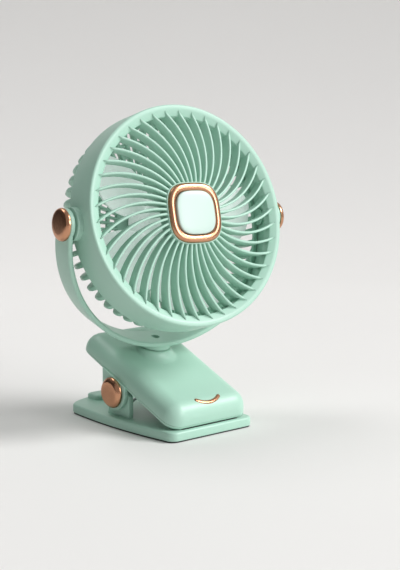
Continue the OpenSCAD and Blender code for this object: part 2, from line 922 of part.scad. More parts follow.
module pivot_screws() {
  from = pivot_core_end + 2 * sink;
  head_x = yoke_in_r + yoke_t + part_gap;
  shank = head_x - from + pivot_head_t / 2;
  color(steel)
    head_place()
      both_sides() {
        translate([from, 0, 0]) along_x() cylinder(r = pivot_shank_r, h = shank);
        translate([head_x, 0, 0]) along_x() cylinder(r = pivot_head_r, h = pivot_head_t);
      }
}

// One curved rib in plan: it leaves the hub square to it and bends one way
module rib_plan() {
  intersection() {
    translate([rib_in_r, rib_curve_r])
      difference() {
        circle(r = rib_curve_r + rib_w / 2, $fn = 160);
        circle(r = rib_curve_r - rib_w / 2, $fn = 160);
      }
    polygon([
      [0, 0],
      2 * rim_r * [cos(rib_wedge_angles[0]), sin(rib_wedge_angles[0])],
      2 * rim_r * [cos(rib_wedge_angles[1]), sin(rib_wedge_angles[1])]
    ]);
  }
}

// One rib, cut to the dome in front and to its depth behind
module front_rib() {
  hub_z = dome_edge_z + dome_rise;
  mid_r = rib_in_r + (rib_out_r - rib_in_r) * dome_mid_share;
  mid_z = dome_edge_z + dome_rise * dome_mid_rise_share;
  heel_r = ring_in_r - ring_w / 2;
  heel_z = dome_edge_z - rib_depth + small_round;
  intersection() {
    linear_extrude(2 * hub_z) rib_plan();
    rotate_extrude()
      polygon([
        [rib_in_r, hub_z], [mid_r, mid_z], [rib_out_r, ring_front - rib_end_drop],
        [rib_out_r, ring_rear + small_round],
        [heel_r, heel_z], [mid_r, mid_z - rib_depth], [rib_in_r, hub_z - rib_depth]
      ]);
  }
}

module front_grille() {
  color(mint)
    head_place() {
      rotate_extrude()
        polygon([
          [ring_in_r, ring_rear + small_round], [ring_in_r + small_round, ring_rear], [ring_r, ring_rear],
          [ring_r, ring_front - small_round], [ring_r - small_round, ring_front],
          [ring_in_r + small_round, dome_edge_z], [ring_in_r, dome_edge_z - small_round]
        ]);
      difference() {
        union() {
          for (i = [0:rib_count - 1])
            rotate([0, 0, 360 * i / rib_count]) front_rib();
          translate([0, 0, collar_back])
            linear_extrude(collar_front - collar_back) polygon(squircle(hub_half));
        }
        translate([0, 0, collar_front - hub_recess])
          linear_extrude(hub_recess + overrun) polygon(squircle(trim_half + run_gap));
      }
    }
}

module hub_trim() {
  from = collar_front - hub_recess;
  high = hub_recess + trim_proud;
  color(copper)
    head_place()
      difference() {
        union() {
          translate([0, 0, from]) linear_extrude(high - small_round) polygon(squircle(trim_half));
          translate([0, 0, from]) linear_extrude(high) polygon(squircle(trim_half - small_round));
        }
        translate([0, 0, from - overrun])
          linear_extrude(high + 2 * overrun) polygon(squircle(badge_half + run_gap));
      }
}

module hub_badge() {
  from = collar_front - hub_recess;
  high = hub_recess + badge_proud;
  color(mint)
    head_place() {
      translate([0, 0, from]) linear_extrude(high - small_round) polygon(squircle(badge_half));
      translate([0, 0, from]) linear_extrude(high) polygon(squircle(badge_half - small_round));
    }
}

// A rear rib in plan: it narrows evenly towards the middle
module rear_rib_plan() {
  polygon([[0, 0], 2 * [rear_out_r, -rear_rib_w / 2], 2 * [rear_out_r, rear_rib_w / 2]]);
}

module rear_rib() {
  in_r = rear_out_r - rear_rib_h;
  low = plate_rear - overrun;
  intersection() {
    translate([0, 0, low]) linear_extrude(flange_rear + flange_t + overrun - low) rear_rib_plan();
    rotate([90, 0, 0])
      linear_extrude(2 * rear_rib_w, center = true)
        polygon([
          [flange_r - flange_w, flange_rear + flange_t], [flange_r, flange_rear + flange_t],
          [flange_r, casing_rear - press_gap], [rear_out_r, casing_rear - press_gap],
          [rear_out_r, rear_tip_z + 2 * rear_bend], [rear_tip_r, rear_tip_z + rear_bend / 2],
          [rear_tip_r - rear_bend / 2, rear_tip_z], [rear_plate_r - sink, plate_rear],
          [rear_plate_r - sink, plate_rear + rear_rib_h], [rear_tip_r - rear_bend, rear_tip_z + rear_rib_h],
          [rear_tip_r - rear_rib_h, rear_tip_z + rear_bend + small_round], [in_r, rear_tip_z + 2 * rear_bend]
        ]);
  }
}

module rear_ring(out_r, from) {
  tube(out_r, out_r - ring_bar_w, from, from + ring_bar_t);
}

module rear_rings() {
  for (share = face_ring_shares)
    rear_ring(
      rear_tip_r + (rear_plate_r - rear_tip_r) * share,
      rear_tip_z - rear_dome * share + ring_inset
    );
}

module rear_grille() {
  color(mint)
    head_place()
      difference() {
        union() {
          for (i = [0:rear_rib_count - 1])
            rotate([0, 0, 360 * i / rear_rib_count]) rear_rib();
          tube(flange_r, flange_r - flange_w, flange_rear, flange_rear + flange_t);
          rear_rings();
          translate([0, 0, plate_rear]) {
            cylinder(r = rear_plate_r, h = plate_t);
            cylinder(r = tube_r, h = plate_t + tube_len);
          }
        }
        translate([0, 0, plate_rear + cap_wall]) cylinder(r = bush_r, h = plate_t + tube_len, $fn = 48);
        cap_screw_places()
          translate([0, 0, plate_rear - overrun]) cylinder(r = cap_screw_r + press_gap, h = plate_t, $fn = 48);
        both_sides()
          translate([pivot_core_end - sink, 0, 0])
            along_x() cylinder(r = pivot_core_r + part_gap, h = rim_r);
      }
}

// Motor
module stator_core() {
  from = plate_front + stator_behind;
  color("gray") head_place() tube(stator_r, tube_r + press_gap, from, from + stator_t);
}

module stator_winding() {
  from = plate_front + stator_behind;
  color(copper)
    head_place() {
      tube(winding_out_r, winding_in_r, from - winding_t, from);
      tube(winding_out_r, winding_in_r, from + stator_t, from + stator_t + winding_t);
    }
}

module motor_board() {
  from = plate_front + seat_gap;
  color(board_green) head_place() tube(motor_board_r, tube_r + seat_gap, from, from + board_t);
}

module motor_bushes() {
  color("goldenrod")
    head_place()
      for (from = [plate_rear + cap_wall + seat_gap, plate_front + tube_len - bush_len - seat_gap])
        tube(bush_r - press_gap, shaft_r + run_gap, from, from + bush_len);
}

module rotor_cup() {
  color(steel)
    head_place()
      difference() {
        translate([0, 0, cup_rear]) cylinder(r = cup_r, h = cup_depth);
        translate([0, 0, cup_rear - overrun])
          cylinder(r = cup_r - cup_wall, h = cup_depth + overrun - cup_wall);
        translate([0, 0, cup_front - 2 * cup_wall])
          cylinder(r = shaft_r + press_gap, h = 3 * cup_wall, $fn = 48);
      }
}

module rotor_magnet() {
  from = cup_rear + seat_gap;
  color("dimgray")
    head_place() tube(cup_r - cup_wall - press_gap, stator_r + air_gap, from, from + stator_t);
}

module motor_shaft() {
  from = plate_rear + cap_wall + 2 * seat_gap;
  to = cup_front + hub_face_t / 2;
  color(steel) head_place() translate([0, 0, from]) cylinder(r = shaft_r, h = to - from, $fn = 48);
}

// A curved sheet along the X axis, from which a blade is cut
module blade_sheet() {
  translate([0, 0, -blade_camber_r])
    difference() {
      along_x() cylinder(r = blade_camber_r + blade_t / 2, h = 2 * blade_r, $fn = 160);
      translate([-overrun, 0, 0])
        along_x() cylinder(r = blade_camber_r - blade_t / 2, h = 3 * blade_r, $fn = 160);
      translate([-overrun, -2 * blade_camber_r, -3 * blade_camber_r])
        cube([3 * blade_r, 4 * blade_camber_r, 3 * blade_camber_r]);
    }
}

module blade() {
  middle_r = (rotor_hub_r + blade_r) / 2;
  plan_r = (blade_r - rotor_hub_r) / 2 + blade_root_sink;
  intersection() {
    translate([0, 0, blade_middle]) rotate([blade_pitch, 0, 0]) blade_sheet();
    translate([middle_r, 0, -2 * blade_r]) cylinder(r = plan_r, h = 4 * blade_r);
    translate([0, 0, -2 * blade_r]) cylinder(r = blade_r, h = 4 * blade_r);
  }
}

module fan_blades() {
  hub_depth = cup_depth + seat_gap + hub_face_t;
  cup_space = cup_depth + press_gap;
  color(frosted)
    head_place()
      difference() {
        union() {
          for (i = [0:blade_count - 1])
            rotate([0, 0, 360 * i / blade_count]) blade();
          translate([0, 0, cup_rear]) round_disc(rotor_hub_r, hub_depth, edge_round);
        }
        translate([0, 0, cup_rear - 2 * blade_r])
          cylinder(r = cup_r + press_gap, h = cup_space + 2 * blade_r);
        translate([0, 0, cup_rear])
          cylinder(r = shaft_r + press_gap, h = cup_space + hub_face_t / 2, $fn = 48);
      }
}

// Rear cap, its board and the button
module cap_screw_places() {
  for (i = [0:cap_screw_count - 1])
    rotate([0, 0, 360 * i / cap_screw_count + 90]) translate([cap_screw_ring, 0, 0]) children();
}

module rear_cap() {
  color(mint)
    head_place()
      difference() {
        union() {
          difference() {
            mirror([0, 0, 1]) translate([0, 0, -plate_rear]) round_disc(rear_cap_r, rear_cap_t, edge_round);
            translate([0, 0, cap_rear + cap_wall]) cylinder(r = rear_cap_r - cap_wall, h = rear_cap_t);
          }
          cap_screw_places()
            translate([0, 0, cap_rear + cap_wall / 2]) cylinder(r = cap_post_r, h = rear_cap_t - cap_wall / 2);
        }
        translate([0, 0, cap_rear - overrun]) {
          cap_screw_places() {
            cylinder(r = cap_screw_r + press_gap, h = rear_cap_t + 2 * overrun, $fn = 48);
            cylinder(r = cap_head_r + seat_gap, h = cap_head_t + overrun, $fn = 48);
          }
          cylinder(r = button_r + button_gap, h = rear_cap_t);
        }
      }
}

module cap_screws() {
  shank = rear_cap_t + plate_t - cap_wall - cap_head_t;
  color(steel)
    head_place()
      cap_screw_places() {
        translate([0, 0, cap_rear + cap_head_t / 2]) cylinder(r = cap_screw_r, h = shank, $fn = 48);
        translate([0, 0, cap_rear]) cylinder(r = cap_head_r, h = cap_head_t, $fn = 48);
      }
}

module control_board() {
  color(board_green)
    head_place() translate([0, 0, control_board_rear]) cylinder(r = control_board_r, h = board_t);
}

module push_switch() {
  case_rear = control_board_rear - switch_t;
  color("dimgray")
    head_place() {
      translate([-switch_w / 2, -switch_w / 2, case_rear]) cube([switch_w, switch_w, switch_t]);
      translate([0, 0, plunger_rear])
        cylinder(r = plunger_r, h = case_rear - plunger_rear + switch_t / 2, $fn = 48);
    }
}

module power_button() {
  color(mint)
    head_place()
      translate([0, 0, button_front])
        mirror([0, 0, 1]) {
          cylinder(r = button_r + button_flange, h = button_flange_t);
          round_disc(button_r, button_front - cap_rear + button_proud, small_round);
        }
}

base_plate();
foot_pad();
base_grip_pad();
hinge_pin();
pin_cap_left();
pin_cap_right();
torsion_spring();
jaw_cover();
jaw_underside();
jaw_inlay();
jaw_grip_pad();
jaw_screws();
battery_cell();
charge_board();
usb_c_port();
yoke_band();
swivel_washer();
swivel_screw();
pivot_knob_left();
pivot_knob_right();
pivot_washers();
head_shroud();
pivot_screws();
front_grille();
hub_trim();
hub_badge();
rear_grille();
stator_core();
stator_winding();
motor_board();
motor_bushes();
rear_cap();
cap_screws();
control_board();
push_switch();
power_button();
fan_blades();
rotor_cup();
rotor_magnet();
motor_shaft();
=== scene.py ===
# %% [markdown]
# # A small clip fan
# The fan has a round head with curved ribs, a bent band that carries the head, and a spring clip
# with a rubber foot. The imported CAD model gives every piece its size, its place and its joint.
# This lesson dresses that model: the pieces that show are modelled again with soft edges, and
# each gets a finish made from shader nodes.

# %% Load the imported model
import json
import math

import bmesh
import bpy
from mathutils import Matrix, Vector


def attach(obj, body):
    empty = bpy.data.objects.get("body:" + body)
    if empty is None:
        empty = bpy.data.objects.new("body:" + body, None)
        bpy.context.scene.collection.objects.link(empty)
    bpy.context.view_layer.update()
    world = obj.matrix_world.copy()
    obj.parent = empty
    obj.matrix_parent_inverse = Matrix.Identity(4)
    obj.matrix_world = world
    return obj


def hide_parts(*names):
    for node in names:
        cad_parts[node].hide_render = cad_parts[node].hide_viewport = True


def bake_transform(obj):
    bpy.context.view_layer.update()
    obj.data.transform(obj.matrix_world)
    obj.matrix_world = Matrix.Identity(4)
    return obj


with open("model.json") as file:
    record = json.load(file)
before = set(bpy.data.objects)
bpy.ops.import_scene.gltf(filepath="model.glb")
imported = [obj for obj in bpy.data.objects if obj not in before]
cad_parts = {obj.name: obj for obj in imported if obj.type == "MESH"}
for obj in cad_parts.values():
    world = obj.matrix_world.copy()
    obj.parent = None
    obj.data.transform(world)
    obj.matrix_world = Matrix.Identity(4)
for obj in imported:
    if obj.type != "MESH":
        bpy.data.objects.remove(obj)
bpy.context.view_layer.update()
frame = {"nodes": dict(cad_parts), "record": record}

# %% [markdown]
# The camera comes first, so that every piece can be judged as the photograph shows it. It stands
# ahead and to the left of the fan, a little above it, and looks slightly down with a long lens.

# %% Camera
CAMERA_AT = (-0.47137, -0.58133, 0.18959)
CAMERA_AZIMUTH = 40.86
CAMERA_DOWN = 8.86
CAMERA_LENS = 89.5
CAMERA_SENSOR = 36
CAMERA_NEAR = 0.01

bpy.ops.object.select_all(action="DESELECT")
bpy.ops.object.camera_add(
    location=CAMERA_AT,
    rotation=(math.radians(90 - CAMERA_DOWN), 0, -math.radians(CAMERA_AZIMUTH)),
)
camera = bpy.context.active_object
camera.name = "photo_camera"
camera.data.lens = CAMERA_LENS
camera.data.sensor_width = CAMERA_SENSOR
camera.data.clip_start = CAMERA_NEAR
bpy.context.scene.camera = camera
print("Camera", tuple(camera.location), "lens", camera.data.lens)

# %% [markdown]
# Each group of pieces is modelled flat and square, in millimetres, round its own origin: the clip,
# the jaw about its pin, the band and the head about the tilt axis. A matrix then carries a finished
# piece to its place and turns millimetres into metres. The angles are those of the pose shown.

# %% Places of the groups
MILLIMETRE = 0.001
JAW_SLOPE = 22.7
LEAN = 13
SWIVEL = -7
TILT = 28.5
PIN_AT = (0, 1, 18.4)
PIVOT_AT = (0, -14.584, 108.951)
NECK_ON_JAW = (0, 8.2, 17.2)


def turned(axis, degrees):
    return Matrix.Rotation(math.radians(degrees), 4, axis)


CLIP = Matrix.Scale(MILLIMETRE, 4)
JAW = CLIP @ Matrix.Translation(PIN_AT) @ turned("X", JAW_SLOPE)
YOKE = CLIP @ Matrix.Translation(PIVOT_AT) @ turned("X", LEAN) @ turned("Z", SWIVEL)
HEAD = YOKE @ turned("X", 90 - TILT)
RIGHTWARDS = turned("Y", 90)
LEFTWARDS = turned("Y", -90)
# Stands an outline up: its X runs to the rear, its Y upwards and its thickness to the right.
SIDE_VIEW = Matrix(((0, 0, 1, 0), (1, 0, 0, 0), (0, 1, 0, 0), (0, 0, 0, 1)))
# For each side: its sign, the turn that makes a lathe shape face outwards, and its name.
SIDES = ((-1, LEFTWARDS, "left"), (1, RIGHTWARDS, "right"))
ahead = HEAD.to_3x3() @ Vector((0, 0, 1 / MILLIMETRE))
print("The head looks along", tuple(round(v, 3) for v in ahead))

# %% [markdown]
# Most pieces start as an outline. By hand, one corner would be extruded again and again along the
# shape, and that is what these helpers do. Corners are rounded before they are drawn, because an
# arc in the outline keeps its radius through every later step.

# %% Outlines
ARC_STEPS = 5


def arc(x, y, radius, start, end, steps=ARC_STEPS):
    """Points on an arc, from one angle to another, in degrees."""
    angles = [math.radians(start + (end - start) * i / steps) for i in range(steps + 1)]
    return [(x + radius * math.cos(a), y + radius * math.sin(a)) for a in angles]


def rounded(corners, steps=ARC_STEPS, closed=True):
    """Replaces each corner (x, y, radius) by an arc of that radius."""
    line = []
    count = len(corners)
    for i, (x, y, radius) in enumerate(corners):
        here = Vector((x, y))
        if radius == 0 or (not closed and i in (0, count - 1)):
            line.append((x, y))
            continue
        back = (Vector(corners[i - 1][:2]) - here).normalized()
        ahead = (Vector(corners[(i + 1) % count][:2]) - here).normalized()
        half = back.angle(ahead) / 2
        reach = radius / math.tan(half)
        centre = here + (back + ahead).normalized() * radius / math.sin(half)
        first = here + back * reach - centre
        sweep = first.angle_signed(here + ahead * reach - centre)
        for k in range(steps + 1):
            turn = Matrix.Rotation(-sweep * k / steps, 2)
            line.append(tuple(centre + turn @ first))
    return line


def rectangle(left, right, low, high, corner, steps=ARC_STEPS):
    """A rectangle with rounded corners."""
    corners = ((left, low), (right, low), (right, high), (left, high))
    return rounded([(x, y, corner) for x, y in corners], steps)


def squircle(half, count=96, power=3.2):
    """A square with very round corners, as points."""
    points = []
    for i in range(count):
        c = math.cos(2 * math.pi * i / count)
        s = math.sin(2 * math.pi * i / count)
        reach = half / (abs(c) ** power + abs(s) ** power) ** (1 / power)
        points.append((reach * c, reach * s))
    return points


def draw(name, points):
    """Draws a line of corners by extruding one corner, and stays in edit mode."""
    bpy.ops.object.select_all(action="DESELECT")
    bpy.ops.mesh.primitive_plane_add(size=1, location=(0, 0, 0))
    piece = bpy.context.active_object
    piece.name = name
    bpy.ops.object.mode_set(mode="EDIT")
    bpy.ops.mesh.select_mode(type="VERT")
    bpy.ops.mesh.select_all(action="SELECT")
    bpy.ops.mesh.merge(type="CENTER")
    bpy.ops.transform.translate(value=points[0])
    for here, there in zip(points, points[1:]):
        step = Vector(there) - Vector(here)
        bpy.ops.mesh.extrude_vertices_move(TRANSFORM_OT_translate={"value": step})
    return piece


print("A badge outline has", len(squircle(10)), "corners")

# %% [markdown]
# A lathe shape is an outline spun round an axis, and a plate is an outline that is filled and
# extruded. After either, doubled corners are merged and the normals are made to face outwards,
# since a spin can leave a seam or turn a shape inside out. With no window, spin goes round its
# axis clockwise, so the axes below point the other way where the sense matters.

# %% Spinning and extruding
TURN_STEPS = 96
SAME_PLACE = 0.001


def close_up():
    """Merges doubled corners, turns the faces outwards and leaves edit mode."""
    bpy.ops.mesh.select_all(action="SELECT")
    bpy.ops.mesh.remove_doubles(threshold=SAME_PLACE)
    bpy.ops.mesh.normals_make_consistent(inside=False)
    bpy.ops.object.mode_set(mode="OBJECT")


def lathe(name, profile, steps=TURN_STEPS):
    """Turns (radius, height) pairs round Z. A profile that leaves the axis is a closed loop."""
    piece = draw(name, [(r, 0, z) for r, z in profile])
    bpy.ops.mesh.select_all(action="SELECT")
    if profile[0][0] > 0:
        bpy.ops.mesh.edge_face_add()
        bpy.ops.mesh.delete(type="ONLY_FACE")
        bpy.ops.mesh.select_all(action="SELECT")
    bpy.ops.mesh.spin(steps=steps, angle=2 * math.pi, center=(0, 0, 0), axis=(0, 0, 1))
    close_up()
    return piece


def rod(name, radius, low, high, steps):
    """A plain cylinder round Z, which mostly cuts or trims other pieces."""
    return lathe(name, [(0, low), (radius, low), (radius, high), (0, high)], steps)


def plate(name, outline, low, high):
    """Fills an outline and extrudes it from one height to another."""
    piece = draw(name, [(x, y, low) for x, y in outline])
    bpy.ops.mesh.select_all(action="SELECT")
    bpy.ops.mesh.edge_face_add()
    bpy.ops.mesh.extrude_region_move(TRANSFORM_OT_translate={"value": (0, 0, high - low)})
    close_up()
    return piece


def mark(kind, test):
    """In edit mode, selects only the corners, edges or faces that pass the test."""
    bpy.ops.mesh.select_mode(type=kind)
    bpy.ops.mesh.select_all(action="DESELECT")
    mesh = bmesh.from_edit_mesh(bpy.context.edit_object.data)
    parts = {"VERT": mesh.verts, "EDGE": mesh.edges, "FACE": mesh.faces}[kind]
    for part in parts:
        if test(part):
            part.select_set(True)
    mesh.select_flush_mode()
    bmesh.update_edit_mesh(bpy.context.edit_object.data)


def round_rim(piece, height, width, segments=4):
    """Bevels the edges that lie all at one height."""
    bpy.context.view_layer.objects.active = piece
    bpy.ops.object.mode_set(mode="EDIT")
    mark("EDGE", lambda edge: all(abs(v.co.z - height) < SAME_PLACE for v in edge.verts))
    bpy.ops.mesh.bevel(offset=width, segments=segments, affect="EDGES")
    bpy.ops.object.mode_set(mode="OBJECT")


# %% [markdown]
# Finished shapes are combined with modifiers that are applied at once, as one would press Apply in
# the modifier list. A union is used where two shapes are one moulding, and a difference for a hole.

# %% Modifiers and joining
def pick(piece):
    """Selects one object alone and makes it the active one."""
    bpy.ops.object.select_all(action="DESELECT")
    piece.select_set(True)
    bpy.context.view_layer.objects.active = piece


def apply_modifier(piece, kind, **settings):
    modifier = piece.modifiers.new(kind.lower(), kind)
    for key, value in settings.items():
        setattr(modifier, key, value)
    pick(piece)
    bpy.ops.object.modifier_apply(modifier=modifier.name)


def combine(piece, tool, operation="UNION"):
    """Unites two closed shapes, or cuts one out of the other."""
    apply_modifier(piece, "BOOLEAN", object=tool, operation=operation, solver="EXACT")
    bpy.data.objects.remove(tool)


def soften(piece, width, segments=3, angle=30):
    """Rounds every edge that is sharper than the angle."""
    limit = math.radians(angle)
    apply_modifier(piece, "BEVEL", width=width, segments=segments, limit_method="ANGLE", angle_limit=limit)


def join(name, pieces):
    """Makes several shapes one object, without changing them."""
    bpy.ops.object.select_all(action="DESELECT")
    for piece in pieces:
        piece.select_set(True)
    bpy.context.view_layer.objects.active = pieces[0]
    if len(pieces) > 1:
        bpy.ops.object.join()
    pieces[0].name = name
    return pieces[0]


def settle(piece, place):
    """Carries a piece to its place and writes the place into its mesh."""
    pick(piece)
    piece.matrix_world = place
    bpy.ops.object.transform_apply(location=True, rotation=True, scale=True)


def repeat(piece, count):
    """Copies the whole mesh round the Z axis, as spin does with its duplicate setting."""
    bpy.context.view_layer.objects.active = piece
    bpy.ops.object.mode_set(mode="EDIT")
    bpy.ops.mesh.select_all(action="SELECT")
    whole = 2 * math.pi * (count - 1) / count
    bpy.ops.mesh.spin(steps=count - 1, dupli=True, angle=whole, center=(0, 0, 0), axis=(0, 0, 1))
    bpy.ops.object.mode_set(mode="OBJECT")


# %% [markdown]
# A finish is a node tree. The two small classes below keep it readable: a Channel is a number on
# its way through the tree, and adding or multiplying it adds a Math node. Every other node comes
# from the one method of Finish, which sets a node's settings first and then feeds its sockets.

# %% Shader helpers
class Channel:
    """A number in a node tree, with the usual signs of arithmetic."""

    def __init__(self, finish, socket):
        self.finish = finish
        self.socket = socket

    def maths(self, operation, first, second):
        return self.finish.node("ShaderNodeMath", {"operation": operation}, {0: first, 1: second})

    def __add__(self, other):
        return self.maths("ADD", self, other)

    def __radd__(self, other):
        return self.maths("ADD", other, self)

    def __sub__(self, other):
        return self.maths("SUBTRACT", self, other)

    def __rsub__(self, other):
        return self.maths("SUBTRACT", other, self)

    def __mul__(self, other):
        return self.maths("MULTIPLY", self, other)

    def __rmul__(self, other):
        return self.maths("MULTIPLY", other, self)


# A Mix node's sockets go by number here: its two colours among the inputs, and its mixed colour
# among the outputs.
MIX_FIRST = 6
MIX_SECOND = 7
MIX_RESULT = 2


class Finish:
    """A material: its constants sit on the shader, and what varies is fed by nodes."""

    def __init__(self, name, **constants):
        self.material = bpy.data.materials.new(name)
        self.material.use_nodes = True
        self.tree = self.material.node_tree
        self.shader = self.tree.nodes["Principled BSDF"]
        for key, value in constants.items():
            self.shader.inputs[key.replace("_", " ")].default_value = value

    def feed(self, socket, value):
        if isinstance(value, Channel):
            self.tree.links.new(value.socket, socket)
        else:
            socket.default_value = value

    def node(self, kind, settings, inputs, output=0):
        made = self.tree.nodes.new(kind)
        for key, value in settings.items():
            setattr(made, key, value)
        for key, value in inputs.items():
            self.feed(made.inputs[key], value)
        return Channel(self, made.outputs[output])

    def here(self):
        """Object coordinates, which are the fan's own metres."""
        return self.node("ShaderNodeTexCoord", {}, {}, "Object")

    def stretched(self, factors):
        """Object coordinates with a factor for each axis, which draws a pattern out."""
        return self.node("ShaderNodeMapping", {}, {"Vector": self.here(), "Scale": factors})

    def noise(self, per_metre, detail, where=None):
        spot = where or self.here()
        inputs = {"Vector": spot, "Scale": per_metre, "Detail": detail}
        return self.node("ShaderNodeTexNoise", {}, inputs)

    def mix(self, share, first, second):
        """Two colours mixed by a share."""
        inputs = {0: share, MIX_FIRST: first, MIX_SECOND: second}
        return self.node("ShaderNodeMix", {"data_type": "RGBA"}, inputs, MIX_RESULT)

    def between(self, share, low, high):
        """A number that goes from low to high as the share goes from 0 to 1."""
        return low + share * (high - low)

    def bump(self, height, depth):
        made = self.node("ShaderNodeBump", {}, {"Distance": depth, "Height": height})
        self.feed(self.shader.inputs["Normal"], made)

    def set(self, name, value):
        self.feed(self.shader.inputs[name], value)


# %% [markdown]
# The fan is moulded in mint-green plastic with a satin skin. Real moulded plastic is never quite
# even: its colour drifts a little over centimetres, its gloss changes where the mould was worn, and
# the skin has a grain of about a third of a millimetre. Three noises of those sizes do that.

# %% Mint plastic
MINT = (0.42, 0.655, 0.54, 1)
MINT_DEEP = (0.395, 0.63, 0.515, 1)
PANEL_MINT = (0.57, 0.72, 0.655, 1)
PANEL_MINT_DEEP = (0.55, 0.70, 0.635, 1)
MEAN_NOISE = 0.5
GLOSS_SWING = 0.10


def mint_plastic(name, light, deep, roughness, grain):
    """The roughness given is the mean one, and the grain is a depth in metres."""
    finish = Finish(name, Coat_Roughness=0.2, Specular_IOR_Level=0.5)
    drift = finish.noise(per_metre=28, detail=3)
    finish.set("Base Color", finish.mix(drift, deep, light))
    patches = finish.noise(per_metre=160, detail=2)
    finish.set("Roughness", roughness + (patches - MEAN_NOISE) * GLOSS_SWING)
    finish.set("Coat Weight", finish.between(patches, 0.04, 0.10))
    finish.bump(finish.noise(per_metre=3200, detail=1), grain)
    return finish.material


mint = mint_plastic("mint_satin_plastic", MINT, MINT_DEEP, roughness=0.40, grain=0.000012)
mint_gloss = mint_plastic("mint_polished_panel", PANEL_MINT, PANEL_MINT_DEEP, roughness=0.36, grain=0.000003)
print("Mint finishes", mint.name, mint_gloss.name)

# %% [markdown]
# The ring on the hub, the arc on the jaw and the caps are plated in a warm copper colour. Plating
# mirrors its surroundings, so the metal is smooth, with faint polishing lines and slight stains.

# %% Copper plating
COPPER_LIGHT = (0.66, 0.35, 0.21, 1)
COPPER_DARK = (0.50, 0.245, 0.14, 1)


def copper_plating():
    finish = Finish("copper_plating", Metallic=1.0)
    stain = finish.noise(per_metre=90, detail=4)
    finish.set("Base Color", finish.mix(stain, COPPER_DARK, COPPER_LIGHT))
    polish = finish.noise(per_metre=900, detail=2, where=finish.stretched((1, 1, 14)))
    finish.set("Roughness", finish.between(polish, 0.17, 0.31))
    finish.bump(polish, depth=0.000006)
    return finish.material


copper = copper_plating()
print("Metal finish", copper.name)

# %% [markdown]
# Rubber is nearly black and dull, with a fine dusty grain. Steel is brushed, so its grain is drawn
# out along one direction. The blades are a frosted pale plastic. Light from the open rear passes
# through such thin sheets, and a weak glow of their own colour stands for it.

# %% Rubber, steel and frosted plastic
RUBBER_DARK = (0.014, 0.015, 0.015, 1)
RUBBER_DUSTY = (0.036, 0.038, 0.038, 1)
STROKE_SWING = 0.16
FROST_DIM = (0.78, 0.84, 0.82, 1)
FROST_PALE = (0.85, 0.90, 0.88, 1)


def rubber_sheet():
    finish = Finish("dark_rubber")
    dust = finish.noise(per_metre=700, detail=5)
    finish.set("Base Color", finish.mix(dust, RUBBER_DARK, RUBBER_DUSTY))
    finish.set("Roughness", finish.between(dust, 0.62, 0.82))
    finish.bump(finish.noise(per_metre=2400, detail=3), depth=0.00003)
    return finish.material


def brushed_metal(name, light, dark, roughness):
    """The roughness given is that of the smoothest strokes."""
    finish = Finish(name, Metallic=1.0)
    strokes = finish.noise(per_metre=1100, detail=3, where=finish.stretched((1, 9, 9)))
    finish.set("Base Color", finish.mix(strokes, dark, light))
    finish.set("Roughness", strokes * STROKE_SWING + roughness)
    finish.bump(strokes, depth=0.000005)
    return finish.material


def frosted_plastic():
    finish = Finish("frosted_blade_plastic", Specular_IOR_Level=0.5, Emission_Strength=0.28)
    cloud = finish.noise(per_metre=60, detail=3)
    pale = finish.mix(cloud, FROST_DIM, FROST_PALE)
    finish.set("Base Color", pale)
    finish.set("Emission Color", pale)
    finish.set("Roughness", finish.between(cloud, 0.42, 0.52))
    finish.bump(finish.noise(per_metre=2600, detail=2), depth=0.00001)
    return finish.material


rubber = rubber_sheet()
steel = brushed_metal("brushed_steel", (0.62, 0.62, 0.63, 1), (0.46, 0.46, 0.47, 1), roughness=0.24)
frosted = frosted_plastic()
print("Finishes", rubber.name, steel.name, frosted.name)

# %% [markdown]
# Inside are a foil-wrapped cell, green circuit boards, copper windings, a dark magnet and bronze
# bushes. They hardly show from outside, but each has its own finish, in case the fan is opened.

# %% Finishes of the inner pieces
LACQUER_DARK = (0.012, 0.12, 0.05, 1)
LACQUER_LIGHT = (0.02, 0.17, 0.075, 1)
# The winding's two colours are painted light: painted shade in the grooves between the turns, and a painted
# highlight on their crests.
WIRE_PAINTED_SHADE = (0.30, 0.10, 0.04, 1)
WIRE_PAINTED_HIGHLIGHT = (0.66, 0.30, 0.14, 1)


def board_lacquer():
    finish = Finish("board_lacquer", Coat_Roughness=0.15)
    inputs = {"Vector": finish.here(), "Scale": 900.0, "Distortion": 1.5}
    weave = finish.node("ShaderNodeTexWave", {}, inputs)
    finish.set("Base Color", finish.mix(weave, LACQUER_DARK, LACQUER_LIGHT))
    finish.set("Roughness", finish.between(weave, 0.3, 0.42))
    finish.bump(weave, depth=0.00001)
    return finish.material


def wound_wire():
    finish = Finish("enamelled_wire", Metallic=1.0)
    inputs = {"Vector": finish.here(), "Scale": 1300.0}
    turns = finish.node("ShaderNodeTexWave", {"bands_direction": "Z"}, inputs)
    # The bands of the turns mix the painted shade with the painted highlight.
    finish.set("Base Color", finish.mix(turns, WIRE_PAINTED_SHADE, WIRE_PAINTED_HIGHLIGHT))
    finish.set("Roughness", finish.between(turns, 0.25, 0.40))
    finish.bump(turns, depth=0.00008)
    return finish.material


board = board_lacquer()
winding = wound_wire()
cell = brushed_metal("cell_foil", (0.66, 0.67, 0.69, 1), (0.55, 0.56, 0.58, 1), roughness=0.3)
magnet = brushed_metal("sintered_magnet", (0.09, 0.09, 0.10, 1), (0.05, 0.05, 0.055, 1), roughness=0.5)
bush = brushed_metal("bronze_bush", (0.62, 0.44, 0.17, 1), (0.48, 0.32, 0.12, 1), roughness=0.32)

FINISH_OF_SLOT = {
    "mint": mint,
    "copper": copper,
    "rubber": rubber,
    "steel": steel,
    "frosted": frosted,
    "cell": cell,
    "board": board,
    "winding": winding,
    "magnet": magnet,
    "bush": bush,
}
SLOT_OF_NODE = {row["node"]: row["material_slot"] for row in frame["record"]["subparts"]}
for name, node in frame["nodes"].items():
    for holder in node.material_slots:
        holder.material = FINISH_OF_SLOT[SLOT_OF_NODE[name]]
print(len(frame["nodes"]), "CAD nodes have a finish")

